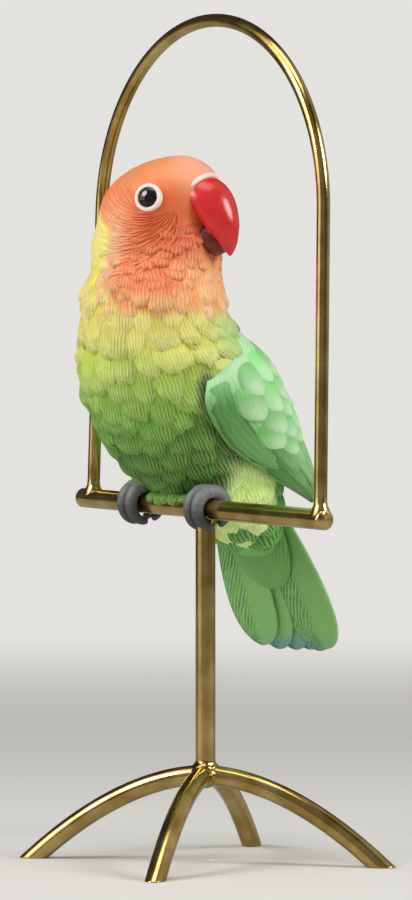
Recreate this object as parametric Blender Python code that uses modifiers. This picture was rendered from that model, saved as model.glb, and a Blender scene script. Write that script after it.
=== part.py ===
"""Porcelain lovebird perched on a brass rod stand with a hoop over its head.

Metres, +Z up. The stand's feet rest on Z = 0 and the model's footprint is centred on the origin.
"""
import math

import bmesh
import bpy
import numpy as np
from mathutils import Matrix, Vector

MM = 0.001

# Brass stand
ROD_DIAMETER = 4.76 * MM
HOOP_WIRE_DIAMETER = 3.1 * MM
FEET_SPAN = 86.2 * MM          # between the centres of two opposite feet
HUB_HEIGHT = 20.9 * MM         # centre line of the legs where they cross
LEG_CURVE = 1.85               # power of the leg's arch, 2 would be a parabola
BAR_HEIGHT = 84.4 * MM         # centre of the bar over the post
BAR_LENGTH = 101.6 * MM
BAR_TURN = math.radians(-39.5)  # seen from above, from the side legs to the bar
BAR_TILT = math.radians(2.0)   # the bar sits a little low at its right end
BAR_CHAMFER = 0.45 * MM
BAR_SHIFT = -2.5 * MM          # middle of the bar from the post, along the bar
HOOP_SHIFT = -1.2 * MM         # middle of the hoop from the post, along the bar
HOOP_FOOT_SPAN = 94.6 * MM     # between the wire's centres on the bar
HOOP_CROWN_RADIUS = 46.0 * MM
HOOP_HEIGHT = 116.4 * MM       # wire's centre above the bar's centre
SEAT_GAP = 0.3 * MM            # between a coped end or a notch and the rod it fits

# Place of the bird on the bar
BIRD_OFFSET = -13.1 * MM       # along the bar, from the post
BIRD_TURN = math.radians(-22.5)  # heading of its breast, from facing -Y
FOOT_SPACING = 28.2 * MM       # between the two feet along the bar
HEAD_TURN = math.radians(95.0)  # towards its left shoulder

# Bird, heights from the bar's centre
BODY_WIDTH = 50.0 * MM
BODY_DEPTH = 46.0 * MM
NECK_HEIGHT = 57.0 * MM
VENT_DROP = 13.0 * MM
HEAD_LENGTH = 31.0 * MM        # forehead to nape
HEAD_WIDTH = 27.6 * MM
HEAD_RISE = 27.3 * MM          # crown above the neck
EYE_DIAMETER = 5.0 * MM
EYE_RING_DIAMETER = 6.7 * MM
EYE_LEVEL = 0.616              # share of the crown's rise above the neck
EYE_FORWARD = 0.245            # share of half the head's length
BEAK_LENGTH = 10.5 * MM        # forward of the lores
BEAK_DEPTH = 19.5 * MM         # cere to hook
BEAK_WIDTH = 12.6 * MM
CERE_LEVEL = 0.83              # share of the crown's rise above the neck
LORES_FORWARD = 0.73           # share of half the head's length
MANDIBLE_LENGTH = 7.0 * MM
MANDIBLE_DEPTH = 7.2 * MM
TOE_DIAMETER = 3.5 * MM
TOE_GRIP = 0.15 * MM           # how far a toe's inner side would press into the notch round the bar
TOE_START = 115.0              # degrees round the bar from its side, past the top
FRONT_TOE_END = -98.0          # degrees, past the bar's underside
REAR_TOE_END = -62.0
THIGH_WIDTH = 10.4 * MM
THIGH_DEPTH = 11.2 * MM
THIGH_HEIGHT = 16.0 * MM
WING_THICKNESS = 2.2 * MM      # beyond the flat back of its curve
RIGHT_WING_INSET = 0.9 * MM    # how much closer the right wing lies than a mirror of the left
RIGHT_WING_SETBACK = 2.8 * MM
TAIL_LENGTH = 39.9 * MM
TAIL_FEATHER_WIDTH = 14.5 * MM
TAIL_FEATHER_THICKNESS = 1.9 * MM
UNDERTAIL_THICKNESS = 3.4 * MM
FEATHER_LIFT = 0.75 * MM       # height of a breast feather's lip
COVERT_LIFT = 0.65 * MM        # height of a wing covert's lip

# Carving pattern
BREAST_FEATHERS = 18           # round the body
BREAST_ROWS = 12               # vent to the bib's lower edge
BREAST_CROWDING = 0.35         # how much narrower the feathers are in front than behind
BIB_ROWS = 2                   # above it, shallower
COVERTS = 5                    # across the wing
COVERT_ROWS = 6


def smooth_through(levels, values, at):
    """Curve through stations set by hand that never swings past them."""
    levels = np.asarray(levels, float)
    values = np.asarray(values, float)
    step = np.diff(levels)
    slope = np.diff(values) / step
    tangent = np.zeros_like(values)
    tangent[0] = slope[0]
    tangent[-1] = slope[-1]
    both = slope[:-1] * slope[1:]
    total = slope[:-1] + slope[1:]
    keep = both > 0
    tangent[1:-1][keep] = 2 * both[keep] / total[keep]
    at = np.clip(np.asarray(at, float), levels[0], levels[-1])
    k = np.clip(np.searchsorted(levels, at, side="right") - 1, 0, len(step) - 1)
    u = (at - levels[k]) / step[k]
    return (values[k] * (1 + 2 * u) * (1 - u) ** 2 + values[k + 1] * u * u * (3 - 2 * u)
            + step[k] * (tangent[k] * u * (1 - u) ** 2 - tangent[k + 1] * u * u * (1 - u)))


def fade(low, high, x):
    """0 below low, 1 above high and smooth between."""
    t = np.clip((np.asarray(x, float) - low) / (high - low), 0.0, 1.0)
    return t * t * (3 - 2 * t)


# Trunk stations, bottom to top. Heights and offsets are shares of the neck's height, section sizes
# are shares of the body's half width and half depth.
#            height  back    tilt  side   front  rear
TRUNK = (
    (-0.228, 0.610, 38.0, 0.08, 0.06, 0.06),
    (-0.205, 0.590, 38.0, 0.24, 0.17, 0.19),
    (-0.150, 0.545, 38.0, 0.36, 0.28, 0.34),
    (-0.080, 0.480, 38.0, 0.44, 0.34, 0.50),
    (0.020, 0.390, 38.0, 0.52, 0.43, 0.62),
    (0.165, 0.290, 36.0, 0.70, 0.69, 0.74),
    (0.325, 0.185, 33.0, 0.915, 0.91, 0.83),
    (0.490, 0.065, 27.0, 1.025, 0.99, 0.78),
    (0.650, -0.038, 18.0, 0.93, 0.98, 0.65),
    (0.800, -0.120, 9.0, 0.715, 0.86, 0.55),
    (0.930, -0.147, 3.0, 0.655, 0.71, 0.55),
    (1.080, -0.120, 0.0, 0.62, 0.64, 0.62),
    (1.480, -0.092, 0.0, 0.62, 0.64, 0.62),
)

# Head stations, neck to crown. Heights are shares of the crown's rise above the neck,
# sizes are shares of the head's half length and half width.
#            height  lean   fore   aft    side
HEAD = (
    (-0.30, -0.14, 1.04, 1.06, 1.08),
    (0.00, -0.15, 1.04, 1.04, 1.08),
    (0.20, -0.10, 1.02, 1.04, 1.06),
    (0.34, -0.05, 0.92, 1.05, 1.03),
    (0.48, 0.00, 0.84, 1.06, 1.00),
    (0.62, 0.02, 0.84, 1.02, 0.96),
    (0.75, 0.07, 0.80, 0.91, 0.86),
    (0.87, 0.14, 0.61, 0.70, 0.66),
    (0.95, 0.20, 0.38, 0.44, 0.40),
    (0.99, 0.24, 0.14, 0.17, 0.15),
    (1.00, 0.25, 0.01, 0.01, 0.01),
)

HEAD_FORWARD = np.array([math.sin(HEAD_TURN), -math.cos(HEAD_TURN), 0.0])
HEAD_SIDE = np.array([math.cos(HEAD_TURN), math.sin(HEAD_TURN), 0.0])


def station(table, column, at):
    rows = np.array(table)
    return smooth_through(rows[:, 0], rows[:, column], at)


def body_point(level, angle, lift=0.0):
    """Point on the bird's skin. Level is the height of the section's centre and angle goes round
    from the breast by the left side to the back."""
    level, angle, lift = np.broadcast_arrays(np.asarray(level, float), angle, lift)
    share = level / NECK_HEIGHT
    tilt = np.radians(station(TRUNK, 2, share))
    tall = (level - NECK_HEIGHT) / HEAD_RISE
    head = fade(-0.15, 0.25, tall)
    lean = station(HEAD, 1, tall) * HEAD_LENGTH / 2 * head
    side = np.sin(angle)
    fore = np.cos(angle)
    depth = np.where(fore > 0, station(TRUNK, 4, share), station(TRUNK, 5, share)) * BODY_DEPTH / 2
    trunk = 1 / np.hypot(side / (station(TRUNK, 3, share) * BODY_WIDTH / 2), fore / depth)
    head_side = np.sin(angle - HEAD_TURN)
    head_fore = np.cos(angle - HEAD_TURN)
    length = np.where(head_fore > 0, station(HEAD, 2, tall), station(HEAD, 3, tall)) * HEAD_LENGTH / 2
    skull = 1 / np.hypot(head_side / (station(HEAD, 4, tall) * HEAD_WIDTH / 2), head_fore / length)
    reach = trunk * (1 - head) + skull * head + lift
    x = reach * side
    forward = reach * fore
    y = station(TRUNK, 1, share) * NECK_HEIGHT - forward * np.cos(tilt)
    z = level - forward * np.sin(tilt)
    x = x + lean * HEAD_FORWARD[0]
    y = y + lean * HEAD_FORWARD[1]
    return np.stack([x, y, z], axis=-1)


def head_frame():
    """Centre of the head at the height of the eyes."""
    level = NECK_HEIGHT + 0.45 * HEAD_RISE
    back = station(TRUNK, 1, np.array([level / NECK_HEIGHT]))[0] * NECK_HEIGHT
    return np.array([0.0, back, 0.0])


def head_place(forward, side, height):
    """Point given forward of the head's axis, to its right side and above the bar."""
    base = head_frame()
    point = base + forward * HEAD_FORWARD - side * HEAD_SIDE
    return np.array([point[0], point[1], height])


def closed_loft(name, rings, first_tip=None, last_tip=None):
    """Skin over a stack of like rings, closed at both ends by a fan to a tip point."""
    rings = [np.asarray(ring, float) for ring in rings]
    count = len(rings[0])
    points = np.concatenate(rings + [[rings[0].mean(axis=0) if first_tip is None else first_tip]]
                            + [[rings[-1].mean(axis=0) if last_tip is None else last_tip]])
    faces = []
    for i in range(len(rings) - 1):
        for j in range(count):
            k = (j + 1) % count
            faces.append((i * count + j, i * count + k, (i + 1) * count + k, (i + 1) * count + j))
    first = len(rings) * count
    top = (len(rings) - 1) * count
    for j in range(count):
        k = (j + 1) % count
        faces.append((first, k, j))
        faces.append((first + 1, top + j, top + k))
    mesh = bpy.data.meshes.new(name)
    mesh.from_pydata([tuple(p) for p in points], [], faces)
    bm = bmesh.new()
    bm.from_mesh(mesh)
    if bm.calc_volume(signed=True) < 0:
        bmesh.ops.reverse_faces(bm, faces=bm.faces)
    bm.to_mesh(mesh)
    bm.free()
    return mesh


def material(name, colour, roughness, metallic=0.0):
    made = bpy.data.materials.new(name)
    made.use_nodes = True
    shader = made.node_tree.nodes["Principled BSDF"]
    shader.inputs["Base Color"].default_value = (*colour, 1.0)
    shader.inputs["Roughness"].default_value = roughness
    shader.inputs["Metallic"].default_value = metallic
    return made


def add_object(name, mesh, collection, finish=None, parent=None):
    made = bpy.data.objects.new(name, mesh)
    collection.objects.link(made)
    if finish is not None:
        mesh.materials.append(finish)
    made.parent = parent
    return made


def as_tool(tool):
    tool.hide_render = True
    tool.display_type = "WIRE"
    return tool


def combine(target, tool, operation):
    step = target.modifiers.new(operation.lower() + "_" + tool.name, "BOOLEAN")
    step.operation = operation
    step.solver = "EXACT"
    step.material_mode = "TRANSFER"
    step.object = tool
    return step


def cylinder(name, diameter, length, collection, parent=None, segments=24):
    """Round bar along its own Z, centred on its origin."""
    bm = bmesh.new()
    bmesh.ops.create_cone(bm, cap_ends=True, segments=segments, radius1=diameter / 2,
                          radius2=diameter / 2, depth=length)
    mesh = bpy.data.meshes.new(name)
    bm.to_mesh(mesh)
    bm.free()
    return add_object(name, mesh, collection, parent=parent)


def bent_rod(name, points, diameter, collection, parent, sides=2, radii=None):
    """Round rod bent along points: a curve with filled caps, turned into a welded mesh."""
    data = bpy.data.curves.new(name, "CURVE")
    data.dimensions = "3D"
    data.bevel_depth = diameter / 2
    data.bevel_resolution = sides
    data.use_fill_caps = True
    spline = data.splines.new("POLY")
    spline.points.add(len(points) - 1)
    for i, point in enumerate(points):
        spline.points[i].co = (*point, 1.0)
        spline.points[i].radius = 1.0 if radii is None else radii[i]
    curve = bpy.data.objects.new(name, data)
    collection.objects.link(curve)
    curve.parent = parent
    bpy.context.view_layer.update()
    mesh = bpy.data.meshes.new_from_object(curve.evaluated_get(bpy.context.evaluated_depsgraph_get()))
    bpy.data.objects.remove(curve)
    bm = bmesh.new()
    bm.from_mesh(mesh)
    bmesh.ops.remove_doubles(bm, verts=bm.verts, dist=0.001 * MM)
    bmesh.ops.recalc_face_normals(bm, faces=bm.faces)
    bm.to_mesh(mesh)
    bm.free()
    mesh.name = name
    return add_object(name, mesh, collection, parent=parent)


def shade(piece, degrees=40.0):
    piece.data.shade_smooth()
    piece.data.set_sharp_from_angle(angle=math.radians(degrees))


# Stand


def leg_points(start, end, count):
    """Arch of a leg along X, from start to end measured from the hub."""
    reach = FEET_SPAN / 2
    spread = np.linspace(start, end, count)
    drop = np.abs(spread / reach) ** LEG_CURVE
    return [(x, 0.0, HUB_HEIGHT * (1 - d)) for x, d in zip(spread, drop)]


def build_stand(parts, tools, root, bar_frame, brass):
    run_out = FEET_SPAN / 2 + ROD_DIAMETER
    notch = ROD_DIAMETER + 2 * SEAT_GAP

    floor_tool = bpy.data.meshes.new("floor_tool")
    bm = bmesh.new()
    bmesh.ops.create_cube(bm, size=FEET_SPAN * 2)
    bm.to_mesh(floor_tool)
    bm.free()
    floor_cut = as_tool(add_object("floor_tool", floor_tool, tools, parent=root))
    floor_cut.location.z = -FEET_SPAN

    side_notch = as_tool(cylinder("side_rod_tool", notch, FEET_SPAN / 2, tools, root))
    side_notch.location.z = HUB_HEIGHT
    side_notch.rotation_euler.y = math.radians(90)
    cross_notch = as_tool(cylinder("cross_rod_tool", notch, FEET_SPAN / 2, tools, root))
    cross_notch.location.z = HUB_HEIGHT
    cross_notch.rotation_euler.x = math.radians(90)
    bar_notch = as_tool(cylinder("bar_tool", notch, BAR_LENGTH * 1.2, tools, bar_frame))
    bar_notch.rotation_euler.y = math.radians(90)
    post_notch = as_tool(cylinder("post_tool", notch, BAR_HEIGHT - HUB_HEIGHT, tools, root))
    post_notch.location.z = (BAR_HEIGHT + HUB_HEIGHT) / 2

    side_legs = bent_rod("side_legs", leg_points(-run_out, run_out, 33), ROD_DIAMETER, parts, root, 4)
    combine(side_legs, floor_cut, "DIFFERENCE")
    front_leg = bent_rod("front_leg", leg_points(0.0, run_out, 17), ROD_DIAMETER, parts, root, 4)
    front_leg.rotation_euler.z = math.radians(-90)
    back_leg = bent_rod("back_leg", leg_points(0.0, run_out, 17), ROD_DIAMETER, parts, root, 4)
    back_leg.rotation_euler.z = math.radians(90)
    for leg in (front_leg, back_leg):
        combine(leg, floor_cut, "DIFFERENCE")
        combine(leg, side_notch, "DIFFERENCE")

    post = cylinder("post", ROD_DIAMETER, BAR_HEIGHT - HUB_HEIGHT, parts, root)
    post.location.z = (BAR_HEIGHT + HUB_HEIGHT) / 2
    for tool in (side_notch, cross_notch, bar_notch):
        combine(post, tool, "DIFFERENCE")

    perch_bar = cylinder("perch_bar", ROD_DIAMETER, BAR_LENGTH, parts, bar_frame)
    perch_bar.location.x = BAR_SHIFT
    perch_bar.rotation_euler.y = math.radians(90)
    edge = perch_bar.modifiers.new("chamfer", "BEVEL")
    edge.width = BAR_CHAMFER
    edge.segments = 1
    edge.limit_method = "ANGLE"
    edge.angle_limit = math.radians(60)

    hoop = bent_rod("hoop", hoop_points(), HOOP_WIRE_DIAMETER, parts, bar_frame, 4)
    hoop.location.x = HOOP_SHIFT
    combine(hoop, bar_notch, "DIFFERENCE")

    for piece in (side_legs, front_leg, back_leg, post, perch_bar, hoop):
        piece.data.materials.append(brass)
        shade(piece)
    return bar_notch, post_notch


def hoop_points():
    """The hoop's wire in the bar's frame: straight flared sides into a round crown."""
    centre = HOOP_HEIGHT - HOOP_CROWN_RADIUS
    foot = HOOP_FOOT_SPAN / 2
    down = math.atan2(-centre, foot)
    tangent = down + math.acos(HOOP_CROWN_RADIUS / math.hypot(foot, centre))
    points = [(foot, 0.0, 0.0)]
    turns = 40
    for i in range(turns + 1):
        a = tangent + (math.pi - 2 * tangent) * i / turns
        points.append((HOOP_CROWN_RADIUS * math.cos(a), 0.0, centre + HOOP_CROWN_RADIUS * math.sin(a)))
    points.append((-foot, 0.0, 0.0))
    return points


# Bird


def scallop(phase):
    """Outline of a rounded feather tip over its width: 1 at the middle, 0 at the valley."""
    return 0.5 + 0.5 * np.cos(2 * np.pi * phase)


def build_body(finishes):
    columns = BREAST_FEATHERS * 4
    turn = np.arange(columns) * 2 * np.pi / columns
    angle = turn - BREAST_CROWDING * np.sin(turn)
    rings = []
    for level in (-0.99, -0.93, -0.80):
        rings.append(body_point(np.full(columns, level * VENT_DROP), angle))
    low = -0.62 * VENT_DROP
    high = NECK_HEIGHT * 0.84
    pitch = (high - low) / BREAST_ROWS
    for row in range(BREAST_ROWS + BIB_ROWS + 1):
        tip = scallop(np.arange(columns) / 4 + 0.5 * (row % 2))
        line = low + row * pitch
        lip = line - 0.30 * pitch * (tip - 0.5)
        strength = 1.25 if row == BREAST_ROWS else (0.6 if row > BREAST_ROWS else 1.0)
        height = FEATHER_LIFT * strength * (0.45 + 0.55 * tip)
        rings.append(body_point(lip - 0.10 * pitch, angle, 0.15 * FEATHER_LIFT))
        rings.append(body_point(lip, angle, height))
    shares = (0.14, 0.29, 0.44, 0.58, 0.71, 0.82, 0.91, 0.97)
    for share in shares:
        rings.append(body_point(np.full(columns, NECK_HEIGHT + share * HEAD_RISE), angle))
    crown = body_point(np.array([NECK_HEIGHT + HEAD_RISE]), np.array([0.0]))[0]
    mesh = closed_loft("body_form", rings, last_tip=crown)
    for finish in finishes:
        mesh.materials.append(finish)
    for face in mesh.polygons:
        height = face.center.z
        if height > high - 0.2 * pitch:
            face.material_index = 1
    return mesh


# Wing curves of the left wing, shoulder to tip, as shares of the body's half width (x),
# half depth (y) and the neck's height (z).
WING_UPPER = ((0.48, -0.08, 0.78), (0.46, 0.24, 0.745), (0.38, 0.58, 0.655), (0.26, 0.98, 0.50),
              (0.16, 1.34, 0.34), (0.12, 1.67, 0.18), (0.20, 1.97, 0.03), (0.26, 2.08, -0.012))
WING_MIDDLE = ((0.60, -0.32, 0.765), (0.79, -0.07, 0.72), (0.945, 0.19, 0.58), (0.96, 0.56, 0.43),
               (0.88, 0.89, 0.30), (0.75, 1.24, 0.19), (0.48, 1.77, 0.055), (0.27, 2.055, -0.006))
WING_LOWER = ((0.78, -0.32, 0.72), (0.86, -0.59, 0.60), (0.815, -0.625, 0.465), (0.79, -0.25, 0.285),
              (0.83, 0.24, 0.175), (0.72, 0.86, 0.095), (0.54, 1.46, 0.042), (0.28, 2.04, -0.008))
WING_SCALE = np.array([BODY_WIDTH / 2, BODY_DEPTH / 2, NECK_HEIGHT])


def wing_curve(table, along):
    rows = np.array(table) * WING_SCALE
    knots = np.linspace(0.0, 1.0, len(rows))
    return np.stack([smooth_through(knots, rows[:, k], along) for k in range(3)], axis=-1)


def wing_point(along, across, lift=0.0):
    """Point on the wing's outer face: along 0 shoulder to 1 tip, across 0 back to 1 lower edge."""
    along, across, lift = np.broadcast_arrays(np.asarray(along, float), across, lift)

    def surface(a, c):
        u = wing_curve(WING_UPPER, a)
        m = wing_curve(WING_MIDDLE, a)
        w = wing_curve(WING_LOWER, a)
        c = c[..., None]
        return u * (1 - c) * (1 - 2 * c) + m * 4 * c * (1 - c) + w * c * (2 * c - 1)

    here = surface(along, across)
    small = 1e-3
    run = surface(np.minimum(along + small, 1.0), across) - surface(np.maximum(along - small, 0.0), across)
    turn = surface(along, across + small) - surface(along, across - small)
    normal = np.cross(turn, run)
    normal /= np.maximum(np.linalg.norm(normal, axis=-1, keepdims=True), 1e-12)
    return here + normal * lift[..., None]


def build_wing(side, finish):
    columns = COVERTS * 4
    across = np.linspace(0.0, 1.0, columns + 1)
    back = np.array([0.96, 0.82, 0.6, 0.4, 0.18, 0.04])
    phase = np.arange(columns + 1) / 4
    edge = np.sin(np.pi * across) ** 0.5
    shift = np.array([RIGHT_WING_INSET, RIGHT_WING_SETBACK, 0.0]) * (side < 0)
    rings = []

    def ring(along, lift, sink=0.0):
        middle = np.array([along.mean()])
        outward = (wing_point(middle, 0.5, MM) - wing_point(middle, 0.5)) / MM
        depth = WING_THICKNESS * math.sqrt(1.02 - middle[0]) * (4 * back * (1 - back)) ** 0.4
        outer = wing_point(along, across, lift) - outward * sink
        inner = outer[0] + (outer[-1] - outer[0]) * back[:, None] - outward * depth[:, None]
        rings.append(np.concatenate([outer, inner]) * np.array([side, 1.0, 1.0]) + shift)

    ring(np.full(columns + 1, 0.0), 0.0, 0.4 * WING_THICKNESS)
    covert_end = 0.60
    pitch = covert_end / COVERT_ROWS
    for row in range(1, COVERT_ROWS + 1):
        tip = scallop(phase + 0.5 * (row % 2))
        lip = row * pitch + 0.34 * pitch * (tip - 0.5)
        lift = COVERT_LIFT * (0.35 + 0.65 * tip) * edge
        ring(lip, lift)
        ring(lip + 0.14 * pitch, 0.1 * COVERT_LIFT * edge)
    quills = 0.9 * COVERT_LIFT * (1 - (across * COVERTS) % 1.0) * edge
    for along in (0.68, 0.77, 0.86, 0.93):
        ring(np.full(columns + 1, along), quills * (1 - along) / (1 - covert_end))
    return add_finish(closed_loft("wing_form", rings), finish)


def add_finish(mesh, finish):
    mesh.materials.append(finish)
    return mesh


def blade(root, tip, side, width, thickness, widest=0.62, rows=8):
    """Feather as a lens-shaped leaf: root and tip are points, side runs across it."""
    root, tip, side = (np.asarray(v, float) for v in (root, tip, side))
    axis = tip - root
    side = side / np.linalg.norm(side)
    up = np.cross(side, axis)
    up /= np.linalg.norm(up)
    rings = []
    for i in range(rows):
        t = (i + 0.15) / (rows - 0.7)
        half = width / 2 * leaf_outline(t, widest)
        centre = root + axis * t
        crest = thickness * (0.35 + 0.65 * leaf_outline(t, widest))
        ring = []
        for a, h in ((-1.0, 0.0), (-0.55, 0.36), (0.0, 0.62), (0.55, 0.36), (1.0, 0.0),
                     (0.5, -0.38), (-0.5, -0.38)):
            ring.append(centre + side * half * a + up * crest * h)
        rings.append(ring)
    return closed_loft("blade", rings, first_tip=root, last_tip=tip)


def leaf_outline(t, widest):
    """Half width of a feather along its length: narrow root, full middle, round tip."""
    if t < widest:
        return 0.55 + 0.45 * math.sin(0.5 * math.pi * t / widest)
    return max(1 - ((t - widest) / (1 - widest)) ** 2.4, 0.0) ** 0.5


# Tail fan, one side: offset of the feather's root and tip from the middle as shares of its width,
# length share, and how far it lies behind the outer one in feather thicknesses.
TAIL_FAN = ((0.50, 0.66, 0.965, 0.0), (0.30, 0.42, 1.01, 0.75), (0.10, 0.14, 1.03, 1.45))
TAIL_SKEW = 0.29               # how much further back the left half lies, in feather thicknesses
TAIL_ROOT = (0.0, 0.53, -0.06)
TAIL_SLOPE = math.radians(30.0)


def tail_frame():
    root = np.array(TAIL_ROOT) * NECK_HEIGHT
    along = np.array([0.0, math.sin(TAIL_SLOPE), -math.cos(TAIL_SLOPE)])
    behind = np.array([0.0, math.cos(TAIL_SLOPE), math.sin(TAIL_SLOPE)])
    return root, along, behind


def build_tail(collection, parent, finish):
    root, along, behind = tail_frame()
    feathers = []
    for side in (-1.0, 1.0):
        for i, (near, far, reach, layer) in enumerate(TAIL_FAN):
            skew = layer + (TAIL_SKEW if side > 0 else 0.0)
            start = root + behind * skew * TAIL_FEATHER_THICKNESS
            start = start + np.array([side * near * TAIL_FEATHER_WIDTH, 0, 0])
            end = start + along * reach * TAIL_LENGTH
            end = end + np.array([side * (far - near) * TAIL_FEATHER_WIDTH, 0, 0])
            mesh = blade(start, end, (1.0, 0.0, 0.0), TAIL_FEATHER_WIDTH, TAIL_FEATHER_THICKNESS)
            name = "tail_feather_%s%d_form" % ("l" if side > 0 else "r", i + 1)
            feathers.append(as_tool(add_object(name, mesh, collection, finish, parent)))
    start = root - behind * 0.38 * UNDERTAIL_THICKNESS - along * 0.10 * TAIL_LENGTH
    end = root - behind * 0.15 * UNDERTAIL_THICKNESS + along * 0.44 * TAIL_LENGTH
    mesh = blade(start, end, (1.0, 0.0, 0.0), 1.2 * TAIL_FEATHER_WIDTH, UNDERTAIL_THICKNESS, widest=0.25)
    feathers.append(as_tool(add_object("undertail_form", mesh, collection, finish, parent)))
    return feathers


# Beak profile in the head's middle plane, root to hook: forward share of the beak's length from the
# lores, and height share of its depth below the cere. Culmen, then cutting edge, then half width.
BEAK_ROWS = (
    (-0.31, 0.010, -0.55, 0.470, 0.90),
    (0.08, 0.015, -0.27, 0.450, 1.00),
    (0.38, 0.072, -0.05, 0.510, 0.99),
    (0.64, 0.200, 0.13, 0.620, 0.91),
    (0.81, 0.385, 0.29, 0.730, 0.77),
    (0.90, 0.610, 0.43, 0.815, 0.57),
    (0.885, 0.800, 0.55, 0.885, 0.38),
    (0.81, 0.935, 0.645, 0.945, 0.19),
    (0.745, 0.990, 0.725, 0.988, 0.03),
)


def head_front():
    return HEAD_LENGTH / 2 * LORES_FORWARD


def build_beak(collection, parent, finish):
    """Hooked upper mandible: a loft whose section is an egg between the culmen and the edge."""
    rings = []
    top = NECK_HEIGHT + CERE_LEVEL * HEAD_RISE
    for cf, ch, ef, eh, wide in BEAK_ROWS:
        culmen = np.array([head_front() + cf * BEAK_LENGTH, top - ch * BEAK_DEPTH])
        edge = np.array([head_front() + ef * BEAK_LENGTH, top - eh * BEAK_DEPTH])
        ring = []
        for k in range(16):
            a = 2 * math.pi * k / 16
            share = 0.5 - 0.5 * math.cos(a)
            bulge = math.sin(a) * (1 - 0.18 * math.cos(a))
            spot = culmen + (edge - culmen) * share
            ring.append(head_place(spot[0], bulge * wide * BEAK_WIDTH / 2, spot[1]))
        rings.append(ring)
    mesh = closed_loft("beak_form", rings)
    return as_tool(add_object("beak_form", mesh, collection, finish, parent))


def build_mandible(collection, parent, finish):
    """Short lower mandible: a blunt scoop under the upper one."""
    rings = []
    top = NECK_HEIGHT + CERE_LEVEL * HEAD_RISE
    for reach, drop, wide, deep in ((-0.5, 0.72, 0.9, 1.0), (0.1, 0.76, 1.0, 1.05), (0.5, 0.80, 0.9, 1.0),
                                    (0.8, 0.815, 0.66, 0.75), (0.97, 0.82, 0.3, 0.36)):
        ring = []
        for k in range(11):
            a = 2 * math.pi * k / 11
            side = math.sin(a) * wide * BEAK_WIDTH * 0.36
            height = top - drop * BEAK_DEPTH - math.cos(a) * deep * MANDIBLE_DEPTH / 2
            ring.append(head_place(head_front() + reach * MANDIBLE_LENGTH, side, height))
        rings.append(ring)
    return as_tool(add_object("mandible_form", closed_loft("mandible_form", rings), collection, finish,
                              parent))


# Section of an eye out from its middle, rim first: radius as a share of the ring's, height as a
# share of the eye's radius.
EYE_PROFILE = ((1.00, -0.70), (1.00, 0.05), (0.93, 0.17), (0.82, 0.15), (0.76, 0.03), (0.66, 0.22),
               (0.44, 0.37), (0.20, 0.44))


def build_eye(side, collection, parent, white, black):
    """Turned form on the side of the head: a raised ring round a glossy dome."""
    height = NECK_HEIGHT + EYE_LEVEL * HEAD_RISE
    forward = EYE_FORWARD * HEAD_LENGTH / 2
    reach = float(station(HEAD, 2, EYE_LEVEL)) * HEAD_LENGTH / 2
    out = float(station(HEAD, 4, EYE_LEVEL)) * HEAD_WIDTH / 2 * math.sqrt(1 - (forward / reach) ** 2)
    centre = Vector(head_place(forward, side * out, height))
    facing = Vector(0.20 * HEAD_FORWARD - side * HEAD_SIDE + np.array([0, 0, 0.16])).normalized()
    turn = facing.to_track_quat("Z", "Y").to_matrix().to_4x4()
    name = "left_eye_form" if side < 0 else "right_eye_form"
    ring_share = EYE_DIAMETER / EYE_RING_DIAMETER
    segments = 14
    rings = []
    for share, rise in EYE_PROFILE:
        radius = share * EYE_RING_DIAMETER / 2
        around = [2 * math.pi * k / segments for k in range(segments)]
        rings.append([(radius * math.cos(a), radius * math.sin(a), rise * EYE_DIAMETER / 2) for a in around])
    mesh = closed_loft(name, rings)
    mesh.materials.append(white)
    mesh.materials.append(black)
    for face in mesh.polygons:
        off_axis = math.hypot(face.center.x, face.center.y)
        if face.center.z > 0 and off_axis < ring_share * EYE_RING_DIAMETER / 2:
            face.material_index = 1
    eye = as_tool(add_object(name, mesh, collection, parent=parent))
    eye.matrix_local = Matrix.Translation(centre + facing * 0.02 * EYE_DIAMETER) @ turn
    return eye


def build_toes(collection, bar_frame, finish):
    """Two toes in front of the bar and two behind for each foot, closed round it."""
    toes = []
    ring_radius = ROD_DIAMETER / 2 + SEAT_GAP + TOE_DIAMETER / 2 - TOE_GRIP
    turns = 8
    for foot, name in ((-0.5, "right"), (0.5, "left")):
        middle = BIRD_OFFSET + foot * FOOT_SPACING
        for spread in (-0.5, 0.5):
            for way, place, last in ((-1, "front", FRONT_TOE_END), (1, "rear", REAR_TOE_END)):
                points = []
                radii = []
                for i in range(turns):
                    t = i / (turns - 1)
                    a = math.radians(TOE_START + (last - TOE_START) * t)
                    slide = middle + spread * TOE_DIAMETER * (0.86 + 0.18 * t)
                    points.append((slide, way * ring_radius * math.cos(a), ring_radius * math.sin(a)))
                    radii.append(1.0 - 0.28 * t - 0.3 * t ** 6)
                toe = bent_rod("%s_%s_toe_%d_form" % (name, place, 1 if spread < 0 else 2), points,
                               TOE_DIAMETER, collection, bar_frame, 1, radii)
                toe.data.materials.append(finish)
                toes.append(as_tool(toe))
    return toes


def build_thighs(collection, bird_frame, bar_to_bird, finish):
    """Feathered thighs that join each foot to the belly."""
    thighs = []
    for foot, name in ((-0.5, "right"), (0.5, "left")):
        spot = bar_to_bird @ Vector((foot * FOOT_SPACING, 0, 0))
        bm = bmesh.new()
        bmesh.ops.create_uvsphere(bm, u_segments=12, v_segments=8, radius=1.0)
        bmesh.ops.scale(bm, vec=(THIGH_WIDTH / 2, THIGH_DEPTH / 2, THIGH_HEIGHT / 2), verts=bm.verts)
        mesh = bpy.data.meshes.new(name + "_thigh_form")
        bm.to_mesh(mesh)
        bm.free()
        thigh = as_tool(add_object(name + "_thigh_form", mesh, collection, finish, bird_frame))
        thigh.location = spot + Vector((0.0, 0.25 * THIGH_WIDTH, 0.6 * THIGH_HEIGHT))
        thighs.append(thigh)
    return thighs


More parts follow.
